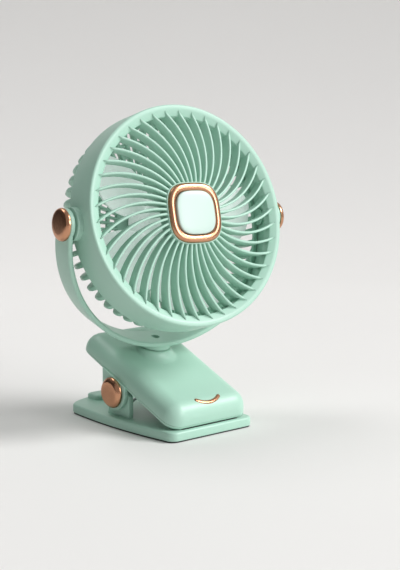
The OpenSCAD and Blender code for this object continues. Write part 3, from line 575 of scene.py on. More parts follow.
# %% [markdown]
# One last helper finishes a piece: it goes to its place, gets its finish and smooth shading, rides
# on its body, and stands for the CAD nodes that it takes the place of.

# %% Finishing a piece
SMOOTH_BELOW = 38


def finish_piece(piece, place, body, slot, stands_for=(), finish=None):
    settle(piece, place)
    piece.data.materials.clear()
    piece.data.materials.append(finish or FINISH_OF_SLOT[slot])
    bpy.ops.object.shade_smooth_by_angle(angle=math.radians(SMOOTH_BELOW))
    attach(piece, body)
    if stands_for:
        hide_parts(*stands_for)
    triangles = sum(len(face.vertices) - 2 for face in piece.data.polygons)
    print(piece.name, "triangles", triangles)


# %% [markdown]
# The clip's plate is 95 mm long and widest near its middle, and its tail is half an oval. On the
# real one it is a single moulding with two ears for the pin and a raised pad for the thumb at the
# rear. The plate is an extruded outline with bevelled edges, and the ears and the pad are united
# to it.

# %% Plate outline
PLATE_LENGTH = 95
PLATE_WIDTH = 62.2
PLATE_FRONT_WIDTH = 55.2
PLATE_TOP = 5.5
FOOT_TOP = 0.8
WIDEST_AHEAD = 2.8
TAIL_LENGTH = 12.5
FRONT_CORNER = 5
SIDE_STEPS = 10
TAIL_STEPS = 24
CORNER_STEPS = 8


def plate_half(y):
    """Half the plate's width at a distance from its middle."""
    share = (y + WIDEST_AHEAD) / (PLATE_LENGTH / 2 - WIDEST_AHEAD)
    return PLATE_WIDTH / 2 - (PLATE_WIDTH - PLATE_FRONT_WIDTH) / 2 * share**2


def plate_outline(inset):
    """The plate seen from above, smaller all round by the inset."""
    tail = PLATE_LENGTH / 2 - TAIL_LENGTH
    corner_y = -PLATE_LENGTH / 2 + FRONT_CORNER
    corner_x = plate_half(corner_y) - FRONT_CORNER
    right = []
    for i in range(1, SIDE_STEPS):
        y = corner_y + (tail - corner_y) * i / SIDE_STEPS
        right.append((plate_half(y) - inset, y))
    end = []
    for i in range(TAIL_STEPS + 1):
        angle = math.radians(180 * i / TAIL_STEPS)
        x = (plate_half(tail) - inset) * math.cos(angle)
        end.append((x, tail + (TAIL_LENGTH - inset) * math.sin(angle)))
    front_right = arc(corner_x, corner_y, FRONT_CORNER - inset, -90, 0, CORNER_STEPS)
    front_left = [(-x, y) for x, y in reversed(front_right)]
    left = [(-x, y) for x, y in reversed(right)]
    return front_right + right + end + left + front_left


# %% Plate and ears
EAR_OUTER = 25.3
EAR_THICKNESS = 3
EAR_RADIUS = 5.5
EAR_FRONT = -9.7
EAR_REAR = 9.2
EAR_SHOULDER = 17
EAR_ROUND = 155
# How far a form is sunk into the one that it is united to.
SUNK = 1

clip_plate = plate("clip_plate", plate_outline(0), FOOT_TOP, PLATE_TOP)
round_rim(clip_plate, PLATE_TOP, width=1.3, segments=5)
round_rim(clip_plate, FOOT_TOP, width=0.35, segments=2)

ear_outline = [(EAR_FRONT, PLATE_TOP - SUNK), (EAR_REAR, PLATE_TOP - SUNK)]
ear_outline += arc(0, PIN_AT[2], EAR_RADIUS, 0, EAR_ROUND, steps=14)
ear_outline += [(EAR_FRONT, EAR_SHOULDER)]
for side in (-1, 1):
    ear = plate("ear", ear_outline, 0, EAR_THICKNESS)
    soften(ear, width=0.45)
    low = side * (EAR_OUTER - EAR_THICKNESS / 2) - EAR_THICKNESS / 2
    settle(ear, Matrix.Translation((low, PIN_AT[1], 0)) @ SIDE_VIEW)
    combine(clip_plate, ear)
print("Plate with ears, faces", len(clip_plate.data.polygons))

# %% Thumb pad, and a seat for the mouth pad
THUMB_PAD = rectangle(left=-14, right=14, low=34, high=45, corner=3)
THUMB_PAD_TOP = 8.3
PAD_HALF = 19
PAD_FRONT = -45
PAD_REAR = -37
PAD_CORNER = 0.6
PAD_SEAT = 4.9
# How far a cutter stands out of the piece that it cuts.
CUTTER_PAST = 2


def mouth_pad_outline(gap):
    """The lower mouth pad from above, smaller all round by a gap."""
    return rectangle(gap - PAD_HALF, PAD_HALF - gap, PAD_FRONT + gap, PAD_REAR - gap, PAD_CORNER)


thumb_pad = plate("thumb_pad", THUMB_PAD, PLATE_TOP - SUNK, THUMB_PAD_TOP)
round_rim(thumb_pad, THUMB_PAD_TOP, width=1.2)
combine(clip_plate, thumb_pad)
pad_seat = plate("pad_seat", mouth_pad_outline(0), PAD_SEAT, PLATE_TOP + CUTTER_PAST)
combine(clip_plate, pad_seat, "DIFFERENCE")
finish_piece(clip_plate, CLIP, "base", "mint", ["base_plate"])

# %% [markdown]
# A thin rubber sheet under the plate keeps the clip from sliding, and shows as a dark line. Two
# more pads line the mouth. All are cut sheet, so they are outlines with slightly softened rims.

# %% Rubber foot and mouth pads
FOOT_INSET = 0.5
PAD_GAP = 0.02
PAD_TOP = 5.6
UPPER_PAD_FRONT = -43
UPPER_PAD_REAR = -37
UPPER_PAD_ROOT = 6
UPPER_PAD_SHUT = 5.9

foot = plate("rubber_foot", plate_outline(FOOT_INSET), 0, FOOT_TOP)
round_rim(foot, 0, width=0.2, segments=2)
finish_piece(foot, CLIP, "base", "rubber", ["foot_pad"])

lower_pad = plate("lower_mouth_pad", mouth_pad_outline(PAD_GAP), PAD_SEAT, PAD_TOP)
round_rim(lower_pad, PAD_TOP, width=0.25, segments=2)
finish_piece(lower_pad, CLIP, "base", "rubber", ["base_grip_pad"])


def upper_pad_low(u):
    """The height in the jaw at which the pad's lower face is level when the clip is shut."""
    slope = math.radians(JAW_SLOPE)
    return (UPPER_PAD_SHUT - PIN_AT[2] - u * math.sin(slope)) / math.cos(slope)


pad_section = [(u, upper_pad_low(u)) for u in (UPPER_PAD_FRONT, UPPER_PAD_REAR)]
pad_section += [(UPPER_PAD_REAR, UPPER_PAD_ROOT), (UPPER_PAD_FRONT, UPPER_PAD_ROOT)]
upper_pad = plate("upper_mouth_pad", pad_section, -PAD_HALF, PAD_HALF)
soften(upper_pad, width=0.3, segments=2)
finish_piece(upper_pad, JAW @ SIDE_VIEW, "jaw", "rubber", ["jaw_grip_pad"])

# %% [markdown]
# Each end of the hinge pin wears a domed copper cap with a bevelled rim. The cap is a lathe shape:
# its profile runs from the middle of the face, over the rim, to the flat back.

# %% Pin caps
CAP_SEAT = 28.5
SMALL_TURN_STEPS = 64
CAP_PROFILE = [(0, 3.3), (3.2, 3.26), (5.6, 3.12), (6.3, 2.98), (6.75, 2.74), (7.65, 1.86), (8.05, 1.4)]
CAP_PROFILE += [(8.2, 0.95), (8.2, 0.35), (7.95, 0.1), (7.7, 0), (2.1, 0), (2.1, 2.2), (0, 2.2)]

for side, turn, name in SIDES:
    pin_cap = lathe("pin_cap_" + name + "_dome", CAP_PROFILE, SMALL_TURN_STEPS)
    place = CLIP @ Matrix.Translation((side * CAP_SEAT, PIN_AT[1], PIN_AT[2])) @ turn
    finish_piece(pin_cap, place, "base", "copper", ["pin_cap_" + name])

# %% [markdown]
# The spring is one steel wire: eleven turns round the pin and two straight legs. It is drawn as a
# curve through the points of that route and given the wire's thickness. The lower leg rests on the
# plate and the upper leg lies along the jaw, as in the pose shown.

# %% Torsion spring
WIRE = 0.8
COIL_RADIUS = 4.9
COIL_TURNS = 11
COIL_LENGTH = 27.5
POINTS_A_TURN = 24
LEG_ANGLE = 35
UPPER_LEG = 16
LEG_GAP = 0.3
WIRE_ROUNDNESS = 4


def spring_route():
    """The wire's middle line, from the end of the lower leg to the end of the upper one."""
    start = 270 - LEG_ANGLE
    end = 90 + JAW_SLOPE - 360 * COIL_TURNS
    steps = round((start - end) / 360 * POINTS_A_TURN)
    route = []
    for i in range(steps + 1):
        a = math.radians(start + (end - start) * i / steps)
        x = -COIL_LENGTH / 2 + COIL_LENGTH * i / steps
        route.append(Vector((x, COIL_RADIUS * math.cos(a), COIL_RADIUS * math.sin(a))))
    leg = math.radians(LEG_ANGLE)
    slope = math.radians(JAW_SLOPE)
    drop = PIN_AT[2] - PLATE_TOP - WIRE - LEG_GAP
    lower = (drop - COIL_RADIUS * math.cos(leg)) / math.sin(leg)
    first = route[0] + lower * Vector((0, math.cos(leg), -math.sin(leg)))
    last = route[-1] + UPPER_LEG * Vector((0, math.cos(slope), math.sin(slope)))
    return [first] + route + [last]


def wire_along(name, route, radius):
    """A curve through the points, thickened to a wire and made a mesh."""
    data = bpy.data.curves.new(name, "CURVE")
    data.dimensions = "3D"
    data.bevel_depth = radius
    data.bevel_resolution = WIRE_ROUNDNESS
    data.use_fill_caps = True
    spline = data.splines.new("POLY")
    spline.points.add(len(route) - 1)
    for point, spot in zip(spline.points, route):
        point.co = (*spot, 1)
    piece = bpy.data.objects.new(name, data)
    bpy.context.scene.collection.objects.link(piece)
    pick(piece)
    bpy.ops.object.convert(target="MESH")
    bpy.ops.object.mode_set(mode="EDIT")
    close_up()
    return piece


spring = wire_along("spring_wire", spring_route(), WIRE)
settle(spring, CLIP @ Matrix.Translation(PIN_AT))
spring.data.materials.append(steel)
bpy.ops.object.shade_smooth_by_angle(angle=math.radians(SMOOTH_BELOW))
coil_reach = Vector((0, 0, COIL_RADIUS))
low = (Vector(PIN_AT) - coil_reach) * MILLIMETRE
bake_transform(spring)
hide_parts("torsion_spring")
print("Spring faces", len(spring.data.polygons))

# %% [markdown]
# The jaw is the softest shape on the fan: a thick lever with round rear corners and a raked nose.
# A hull over eight round primitives gives its form, as if cling film were drawn over them: a dome
# at each upper corner, and a ring with a rounded edge at each lower one. The neck's flare is united
# to it, and a voxel remesh with some smoothing melts the two together. It is then parted along the
# seam between its cover and its underside.

# %% Jaw form
JAW_WIDTH = 54
JAW_FRONT = -47.4
JAW_REAR = 37
JAW_LOW = 5.9
JAW_HIGH = 17.2
NOSE_RAKE = 9.5
NOSE_CORNER = 8
SEAM = 7.6
TOP_ROUND = 9
LOW_EDGE = 0.7
VOXEL = 0.6
HULL_SEGMENTS = 40
HULL_RINGS = 24


def ring_at(x, y, z, radius, edge):
    """A flat ring whose outer radius and edge radius are given."""
    bpy.ops.mesh.primitive_torus_add(
        location=(x, y, z),
        major_radius=radius - edge,
        minor_radius=edge,
        major_segments=HULL_SEGMENTS,
        minor_segments=HULL_RINGS,
    )
    return bpy.context.active_object


def dome_at(x, y, z, radius):
    """The upper half of a ball."""
    bpy.ops.mesh.primitive_uv_sphere_add(
        segments=HULL_SEGMENTS,
        ring_count=HULL_RINGS,
        radius=radius,
        location=(x, y, z),
    )
    ball = bpy.context.active_object
    bpy.ops.object.mode_set(mode="EDIT")
    mark("VERT", lambda v: v.co.z < -SAME_PLACE)
    bpy.ops.mesh.delete(type="VERT")
    bpy.ops.object.mode_set(mode="OBJECT")
    return ball


def jaw_hull():
    """The jaw's form without its neck."""
    parts = []
    rear_y = JAW_REAR - TOP_ROUND
    for side in (-1, 1):
        bpy.ops.object.select_all(action="DESELECT")
        top_x = side * (JAW_WIDTH / 2 - TOP_ROUND)
        parts.append(dome_at(top_x, JAW_FRONT + NOSE_RAKE, JAW_HIGH - TOP_ROUND, TOP_ROUND))
        parts.append(dome_at(top_x, rear_y, JAW_HIGH - TOP_ROUND, TOP_ROUND))
        parts.append(ring_at(top_x, rear_y, JAW_LOW + LOW_EDGE, TOP_ROUND, LOW_EDGE))
        nose_x = side * (JAW_WIDTH / 2 - NOSE_CORNER)
        parts.append(ring_at(nose_x, JAW_FRONT + NOSE_CORNER, JAW_LOW + LOW_EDGE, NOSE_CORNER, LOW_EDGE))
    hull = join("jaw_hull", parts)
    bpy.ops.object.transform_apply(location=True, rotation=True, scale=True)
    bpy.ops.object.mode_set(mode="EDIT")
    bpy.ops.mesh.select_all(action="SELECT")
    bpy.ops.mesh.convex_hull(delete_unused=True, join_triangles=True)
    bpy.ops.mesh.select_all(action="SELECT")
    bpy.ops.mesh.normals_make_consistent(inside=False)
    bpy.ops.object.mode_set(mode="OBJECT")
    return hull


# %% Jaw with its neck flare
FLARE = [(0, 2.5), (8.9, 2.5), (9.4, 2.3), (9.7, 1.8), (10.1, 0.9), (10.9, -0.2), (12.1, -1.2), (13.8, -2.1)]
FLARE += [(16.4, -3.1), (17.4, -4.7), (0, -4.7)]

jaw = jaw_hull()
flare = lathe("neck_flare", FLARE, SMALL_TURN_STEPS)
settle(flare, Matrix.Translation(NECK_ON_JAW) @ turned("X", LEAN - JAW_SLOPE))
combine(jaw, flare)
apply_modifier(jaw, "REMESH", mode="VOXEL", voxel_size=VOXEL, adaptivity=0.0)
apply_modifier(jaw, "SMOOTH", factor=0.5, iterations=8)
print("Jaw faces", len(jaw.data.polygons))

# %% Jaw cover and underside
def part_at(source, name, height, keep_upper):
    """A copy of a shape, cut flat at a height and filled there."""
    copy = source.copy()
    copy.data = source.data.copy()
    copy.name = name
    bpy.context.scene.collection.objects.link(copy)
    pick(copy)
    bpy.ops.object.mode_set(mode="EDIT")
    bpy.ops.mesh.select_all(action="SELECT")
    bpy.ops.mesh.bisect(
        plane_co=(0, 0, height),
        plane_no=(0, 0, 1),
        use_fill=True,
        clear_inner=keep_upper,
        clear_outer=not keep_upper,
    )
    close_up()
    return copy


SEAM_GAP = 0.16

cover = part_at(jaw, "jaw_cover_shell", SEAM + SEAM_GAP / 2, True)
underside = part_at(jaw, "jaw_underside_shell", SEAM - SEAM_GAP / 2, False)
bpy.data.objects.remove(jaw)
finish_piece(cover, JAW, "jaw", "mint", ["jaw_cover"])

# %% Lobes of the underside
LOBE_RADIUS = 9.5
LOBE_INNER = 25.6
LOBE_OUTER = 28.2
PIN_HOLE_RADIUS = 2.05
CUTTER_REACH = 40


def lobe_outline():
    """A half disc round the pin, carried up to the seam."""
    slope = math.radians(JAW_SLOPE)
    up = Vector((math.sin(slope), math.cos(slope)))
    across = Vector((math.cos(slope), -math.sin(slope)))
    points = arc(0, 0, LOBE_RADIUS, 180 - JAW_SLOPE, 360 - JAW_SLOPE, steps=28)
    for edge in (across * LOBE_RADIUS, -across * LOBE_RADIUS):
        points.append(tuple(edge + up * (SEAM - edge.y) / up.y))
    return points


for side in (-1, 1):
    lobe = plate("lobe", lobe_outline(), 0, LOBE_OUTER - LOBE_INNER)
    soften(lobe, width=0.5)
    low = side * (LOBE_OUTER + LOBE_INNER) / 2 - (LOBE_OUTER - LOBE_INNER) / 2
    settle(lobe, Matrix.Translation((low, 0, 0)) @ SIDE_VIEW)
    combine(underside, lobe)
pin_hole = rod("pin_hole", PIN_HOLE_RADIUS, -CUTTER_REACH, CUTTER_REACH, steps=48)
settle(pin_hole, RIGHTWARDS)
combine(underside, pin_hole, "DIFFERENCE")
finish_piece(underside, JAW, "jaw", "mint", ["jaw_underside"])

# %% [markdown]
# A curved copper line is let into the jaw where its top begins to roll down to the nose. It is a
# short arc with round ends, raised half a millimetre, and its upper edge is rounded like a tube.

# %% Copper arc
INLAY_RADIUS = 12.8
INLAY_HALF_WIDTH = 1.1
INLAY_HALF_ANGLE = 36
INLAY_AT = (0, -42, 16.25)
INLAY_SLOPE = 18
INLAY_LOW = -0.9
INLAY_HIGH = 0.5
INLAY_STEPS = 20


def inlay_outline():
    """An arc with round ends. Its lowest part lies on the X axis."""
    first = 270 - INLAY_HALF_ANGLE
    last = 270 + INLAY_HALF_ANGLE
    outer = arc(0, 0, INLAY_RADIUS + INLAY_HALF_WIDTH, first, last, INLAY_STEPS)
    inner = arc(0, 0, INLAY_RADIUS - INLAY_HALF_WIDTH, last, first, INLAY_STEPS)
    tips = []
    for angle, turn in ((last, 0), (first, 180)):
        x = INLAY_RADIUS * math.cos(math.radians(angle))
        y = INLAY_RADIUS * math.sin(math.radians(angle))
        tips.append(arc(x, y, INLAY_HALF_WIDTH, angle + turn, angle + turn + 180, steps=8)[1:-1])
    return [(x, y + INLAY_RADIUS) for x, y in outer + tips[0] + inner + tips[1]]


inlay = plate("copper_arc", inlay_outline(), INLAY_LOW, INLAY_HIGH)
round_rim(inlay, INLAY_HIGH, width=0.7, segments=5)
inlay_place = JAW @ Matrix.Translation(INLAY_AT) @ turned("X", INLAY_SLOPE)
finish_piece(inlay, inlay_place, "jaw", "copper", ["jaw_inlay"])

# %% [markdown]
# The band that holds the head is a U of constant thickness, a little wider under the head than at
# its arms. Its rounded section is spun half a turn, the rings are scaled to taper it, the ends are
# extruded up, and two round eyes close the arms. The collar below it turns on the jaw.

# %% Yoke band
YOKE_INNER = 62.1
YOKE_OUTER = 64.9
YOKE_DROP = 3.5
ARM_WIDTH = 14.4
FLOOR_WIDTH = 18
EYE_RADIUS = 8.2
YOKE_EDGE = 1.0
BAND_RINGS = 72
RING_SLACK = 0.01


def band_section():
    """The end of the band's bend, seen along it."""
    half = ARM_WIDTH / 2
    corners = rectangle(YOKE_INNER, YOKE_OUTER, -half, half, YOKE_EDGE, steps=4)
    return [(x, y, -YOKE_DROP) for x, y in corners]


def in_band_ring(corner, angle):
    """Whether a corner belongs to the section that was turned by an angle."""
    x = corner.co.x
    z = corner.co.z + YOKE_DROP
    return z < 0 and abs(z * math.cos(angle) + x * math.sin(angle)) < RING_SLACK


yoke = draw("yoke_arch", band_section())
bpy.ops.mesh.select_all(action="SELECT")
bpy.ops.mesh.edge_face_add()
bpy.ops.mesh.spin(steps=BAND_RINGS, angle=math.pi, center=(0, 0, -YOKE_DROP), axis=(0, -1, 0))
for ring in range(1, BAND_RINGS):
    angle = math.pi * ring / BAND_RINGS
    mark("VERT", lambda v: in_band_ring(v, angle))
    growth = 1 + (FLOOR_WIDTH / ARM_WIDTH - 1) * math.sin(angle)
    bpy.ops.transform.resize(value=(1, growth, 1), center_override=(0, 0, 0))
mark("FACE", lambda face: abs(face.calc_center_median().z + YOKE_DROP) < SAME_PLACE)
bpy.ops.mesh.extrude_region_move(TRANSFORM_OT_translate={"value": (0, 0, YOKE_DROP)})
close_up()
print("Band faces", len(yoke.data.polygons))

# %% Eyes, collar and screw hole of the band
EYE_THICKNESS = YOKE_OUTER - YOKE_INNER
EYE_EDGE = 0.9
NECK_TOP = -67.4
NECK_RADIUS = 8.6
NECK_LOW = -70.57
STEM_RADIUS = 5.45
STEM_LOW = -77.5
SCREW_HOLE_RADIUS = 2.3
SCREW_HOLE_TOP = -60
SCREW_HOLE_LOW = -71.7

eye_profile = [(0, 0, 0), (EYE_RADIUS, 0, EYE_EDGE), (EYE_RADIUS, EYE_THICKNESS, EYE_EDGE)]
eye_profile += [(0, EYE_THICKNESS, 0)]
for side, turn, _ in SIDES:
    eye = lathe("eye", rounded(eye_profile, 4, closed=False), SMALL_TURN_STEPS)
    settle(eye, Matrix.Translation((side * YOKE_INNER, 0, 0)) @ turn)
    combine(yoke, eye)

collar_profile = [(0, NECK_TOP, 0), (NECK_RADIUS, NECK_TOP, 0), (NECK_RADIUS, NECK_LOW, 0.5)]
collar_profile += [(STEM_RADIUS, NECK_LOW, 0), (STEM_RADIUS, STEM_LOW, 0), (0, STEM_LOW, 0)]
collar = lathe("collar", rounded(collar_profile, 3, closed=False), SMALL_TURN_STEPS)
combine(yoke, collar)
screw_hole = rod("screw_hole", SCREW_HOLE_RADIUS, SCREW_HOLE_LOW, SCREW_HOLE_TOP, steps=32)
combine(yoke, screw_hole, "DIFFERENCE")
finish_piece(yoke, YOKE, "yoke", "mint", ["yoke_band"])

# %% [markdown]
# Copper knobs cover the tilt screws. Each is a low drum: a nearly flat face that rolls over into a
# short straight side. Behind each arm a thin rubber washer gives the tilt its friction.

# %% Pivot knobs and washers
KNOB_PROFILE = [(0, 3.0), (4.6, 2.97), (6.3, 2.86), (7.2, 2.6), (7.85, 2.15), (8.25, 1.55), (8.4, 0.9)]
KNOB_PROFILE += [(8.4, 0.2), (8.2, 0), (4.1, 0), (4.1, 2.1), (0, 2.1)]
WASHER_AT = 61.25
WASHER = rounded([(2.05, 0, 0.2), (5.4, 0, 0.25), (5.4, 0.8, 0.25), (2.05, 0.8, 0.2)], 2)

for side, turn, name in SIDES:
    knob = lathe("knob_" + name + "_dome", KNOB_PROFILE, SMALL_TURN_STEPS)
    place = YOKE @ Matrix.Translation((side * YOKE_OUTER, 0, 0)) @ turn
    finish_piece(knob, place, "yoke", "copper", ["pivot_knob_" + name])

washers = []
for side, turn, _ in SIDES:
    washer = lathe("washer", WASHER, steps=48)
    settle(washer, Matrix.Translation((side * WASHER_AT, 0, 0)) @ turn)
    washers.append(washer)
finish_piece(join("friction_washers", washers), YOKE, "yoke", "rubber", ["pivot_washers"])

# %% [markdown]
# The casing is a deep ring that flares slightly towards the rear. Its front rim is rolled, which
# gives the bright line round the fan, and ends flush with the grille's outer ring. Flat round
# bosses on both sides face the band's eyes.

# %% Casing
CASING_INNER = 56.1
CASING_FRONT = 16
CASING_REAR = -4.5
CASING_FRONT_RADIUS = 58.08
CASING_REAR_RADIUS = 58.48
RIM_MEETING = 15.98
REBATE_RADIUS = 56.5
REBATE_FRONT = -3.1
LEDGE_RADIUS = 55
LEDGE_REAR = 7.5
LEDGE_FRONT = 8.9
CASING_STEPS = 160
CASING = [
    (CASING_INNER, RIM_MEETING, 0),
    (56.8, CASING_FRONT, 0),
    (CASING_FRONT_RADIUS, CASING_FRONT, 1.1),
    (CASING_REAR_RADIUS, CASING_REAR, 0.8),
    (REBATE_RADIUS, CASING_REAR, 0),
    (REBATE_RADIUS, REBATE_FRONT, 0),
    (CASING_INNER, LEDGE_REAR, 0),
    (LEDGE_RADIUS, LEDGE_REAR, 0.2),
    (LEDGE_RADIUS, LEDGE_FRONT, 0.2),
    (CASING_INNER, LEDGE_FRONT, 0),
]
casing = lathe("casing_ring", rounded(CASING), CASING_STEPS)

# %% Bosses of the casing
BOSS_RADIUS = 8.6
BOSS_SEAT = 57
BOSS_FACE = 61
CORE_RADIUS = 4.5
CORE_FROM = 55
CORE_TO = 57.5
BORE_RADIUS = 2.02
BORE_FROM = 56
BORE_TO = 64

boss_profile = [(0, BOSS_SEAT, 0), (BOSS_RADIUS, BOSS_SEAT, 0), (BOSS_RADIUS, BOSS_FACE, 0.4)]
boss_profile += [(0, BOSS_FACE, 0)]
for _, turn, _ in SIDES:
    boss = lathe("boss", rounded(boss_profile, 3, closed=False), SMALL_TURN_STEPS)
    settle(boss, turn)
    combine(casing, boss)
    core = rod("core", CORE_RADIUS, CORE_FROM, CORE_TO, steps=48)
    settle(core, turn)
    combine(casing, core)
    bore = rod("bore", BORE_RADIUS, BORE_FROM, BORE_TO, steps=32)
    settle(bore, turn)
    combine(casing, bore, "DIFFERENCE")
finish_piece(casing, HEAD, "head", "mint", ["head_shroud"])

# %% [markdown]
# Forty-two ribs leave the hub square to it and bend one way as they run to the outer ring. One rib
# is modelled and the rest are copies. A slim section with rounded edges is spun along the curve,
# and each of its rings is then lifted, the inner ones most, so that the grille makes a shallow
# dome. Last, the outer end is squeezed until it is narrow.

# %% One curved rib
RIB_COUNT = 42
RIB_WIDTH = 1.3
RIB_DEPTH = 6.6
RIB_CURVE = 45
RIB_START = 15.1
RIB_END = 54.6
RIB_RINGS = 15
RIB_TIP_WIDTH = 0.3
DOME_EDGE = 15.6
DOME_RISE = 5.4
DOME_POWER = 1.3
RIB_REAR_EDGE = 0.2
RIB_FRONT_EDGE = 0.5
RIB_REACH = 2
RIB_SLACK = 0.02


def rib_sweep():
    """How far round its own circle a rib goes before it reaches its outer radius."""
    reach = math.hypot(RIB_START, RIB_CURVE)
    cosine = (reach**2 + RIB_CURVE**2 - RIB_END**2) / (2 * reach * RIB_CURVE)
    return math.acos(cosine) - math.atan2(RIB_START, RIB_CURVE)


def dome_height(radius):
    """The height of the ribs' front edge at a distance from the middle."""
    share = min(max((radius - RIB_START) / (RIB_END - RIB_START), 0), 1)
    return DOME_EDGE + DOME_RISE * (1 - share**DOME_POWER)


def rib_section():
    """A rib's inner end, with its front edge at height 0."""
    half = RIB_WIDTH / 2
    corners = [(-half, -RIB_DEPTH, RIB_REAR_EDGE), (half, -RIB_DEPTH, RIB_REAR_EDGE)]
    corners += [(half, 0, RIB_FRONT_EDGE), (-half, 0, RIB_FRONT_EDGE)]
    return [(RIB_START, y, z) for y, z in rounded(corners, 3)]


def in_rib_ring(corner, spot, along):
    """Whether a corner belongs to the rib's section at a spot."""
    offset = corner.co.xy - spot
    return abs(offset.dot(along)) < RIB_SLACK and offset.length < RIB_REACH


sweep = rib_sweep()
ribs = draw("front_ribs", rib_section())
bpy.ops.mesh.select_all(action="SELECT")
bpy.ops.mesh.edge_face_add()
bpy.ops.mesh.spin(steps=RIB_RINGS, angle=sweep, center=(RIB_START, RIB_CURVE, 0), axis=(0, 0, -1))
for ring in range(RIB_RINGS + 1):
    angle = sweep * ring / RIB_RINGS
    spot = Vector((RIB_START + RIB_CURVE * math.sin(angle), RIB_CURVE * (1 - math.cos(angle))))
    along = Vector((math.cos(angle), math.sin(angle)))
    mark("VERT", lambda v: in_rib_ring(v, spot, along))
    bpy.ops.transform.translate(value=(0, 0, dome_height(spot.length)))
across = Vector((-along.y, along.x))
for side in (-1, 1):
    mark("VERT", lambda v: in_rib_ring(v, spot, along) and side * (v.co.xy - spot).dot(across) > 0)
    squeeze = -side * (RIB_WIDTH - RIB_TIP_WIDTH) / 2 * across
    bpy.ops.transform.translate(value=(*squeeze, 0))
close_up()
repeat(ribs, RIB_COUNT)
finish_piece(ribs, HEAD, "head", "mint")

# %% [markdown]
# The ribs end in a dished ring that sits inside the casing, and meet at a collar shaped between a
# square and a circle. The collar has a thin lip, and a pocket for the copper ring and the panel.

# %% Outer ring and collar of the grille
RING_INNER = 52
RING_REAR = 9.1
RING = [(RING_INNER, RING_REAR, 0.4), (CASING_INNER, RING_REAR, 0.3), (CASING_INNER, RIM_MEETING, 0)]
RING += [(55.4, 15.8, 0.8), (RING_INNER, 14.1, 0.7)]
COLLAR_HALF = 16.1
POCKET_HALF = 15.55
COLLAR_BACK = 13.4
COLLAR_FRONT = 21.3
POCKET_DEPTH = 2.2
POCKET_FLOOR = COLLAR_FRONT - POCKET_DEPTH

outer_ring = lathe("grille_ring", rounded(RING, 4), CASING_STEPS)
finish_piece(outer_ring, HEAD, "head", "mint")

hub_collar = plate("hub_collar", squircle(COLLAR_HALF), COLLAR_BACK, COLLAR_FRONT)
pocket = plate("pocket", squircle(POCKET_HALF), POCKET_FLOOR, COLLAR_FRONT + CUTTER_PAST)
combine(hub_collar, pocket, "DIFFERENCE")
soften(hub_collar, width=0.22, angle=50)
finish_piece(hub_collar, HEAD, "head", "mint", ["front_grille"])

# %% [markdown]
# The copper ring is a broad band with a domed face, four millimetres wide, and inside it lies a
# plain mint panel. The face of each is extruded a few times, and every step is drawn in a little
# and raised or lowered.

# %% Copper ring and panel
TRIM_TOP = 23.0
TRIM_DOME = ((15.5, 21.4), (15.4, 21.9), (15.1, 22.4), (14.6, 22.76), (13.9, 22.96), (13.3, TRIM_TOP))
TRIM_DOME += ((12.7, 22.93), (12.15, 22.7), (11.75, 22.35), (11.5, 21.9))
TRIM_INNER = 11.5
PANEL_DOME = ((11.25, 22.9), (11.1, 23.1), (10.7, 23.25), (8.8, 23.45), (6.2, 23.58), (3.1, 23.65))
FACES_UP = 0.9


def domed_plate(name, low, dome):
    """A plate with the hub's outline whose face rises through (half width, height) pairs."""
    piece = plate(name, squircle(dome[0][0]), low, dome[0][1])
    bpy.context.view_layer.objects.active = piece
    bpy.ops.object.mode_set(mode="EDIT")
    mark("FACE", lambda face: face.normal.z > FACES_UP)
    for (half, height), (next_half, next_height) in zip(dome, dome[1:]):
        bpy.ops.mesh.extrude_region_move(TRANSFORM_OT_translate={"value": (0, 0, next_height - height)})
        bpy.ops.transform.resize(value=(next_half / half, next_half / half, 1), center_override=(0, 0, 0))
    bpy.ops.object.mode_set(mode="OBJECT")
    return piece


trim = domed_plate("copper_ring", POCKET_FLOOR, TRIM_DOME)
trim_hole = plate("trim_hole", squircle(TRIM_INNER), POCKET_FLOOR - CUTTER_PAST, TRIM_TOP + CUTTER_PAST)
combine(trim, trim_hole, "DIFFERENCE")
finish_piece(trim, HEAD, "head", "copper", ["hub_trim"])

panel = domed_plate("hub_panel", POCKET_FLOOR, PANEL_DOME)
finish_piece(panel, HEAD, "head", "mint", ["hub_badge"], mint_gloss)

# %% [markdown]
# Behind the casing stands a cage of straight ribs tied together by rings. Each rib is a bent bar: it
# runs back, turns a rounded corner and goes in to the hub plate, getting narrower on the way. Its
# edges are so round that it shows as a lobe behind the casing. The rings are lathe shapes.

# %% Rear ribs
REAR_RIBS = 52
REAR_RIB_WIDTH = 2.7
REAR_RIB_OUT = 56.45
REAR_RIB_IN = 21
CAGE_FRONT = -3.4
CAGE_TIP = 54.7
CAGE_REAR = -20
CAGE_DOME = 3.6
CAGE_BACK = CAGE_REAR - CAGE_DOME
REAR_RIB = [
    (53.4, CAGE_FRONT, 0),
    (REAR_RIB_OUT, CAGE_FRONT, 0),
    (REAR_RIB_OUT, -13, 4),
    (CAGE_TIP, CAGE_REAR, 4.6),
    (REAR_RIB_IN, CAGE_BACK, 0),
    (REAR_RIB_IN, CAGE_REAR, 0),
    (50.6, -16.4, 1.6),
    (52.9, -10.8, 1.2),
]

rear_ribs = plate("rear_ribs", rounded(REAR_RIB, 4), -REAR_RIB_WIDTH / 2, REAR_RIB_WIDTH / 2)
soften(rear_ribs, width=0.8)
bpy.ops.object.mode_set(mode="EDIT")
mark("VERT", lambda v: v.co.x < REAR_RIB_OUT / 2)
bpy.ops.transform.resize(value=(1, 1, REAR_RIB_IN / REAR_RIB_OUT), center_override=(0, 0, 0))
bpy.ops.object.mode_set(mode="OBJECT")
settle(rear_ribs, turned("X", 90))
repeat(rear_ribs, REAR_RIBS)
finish_piece(rear_ribs, HEAD, "head", "mint")

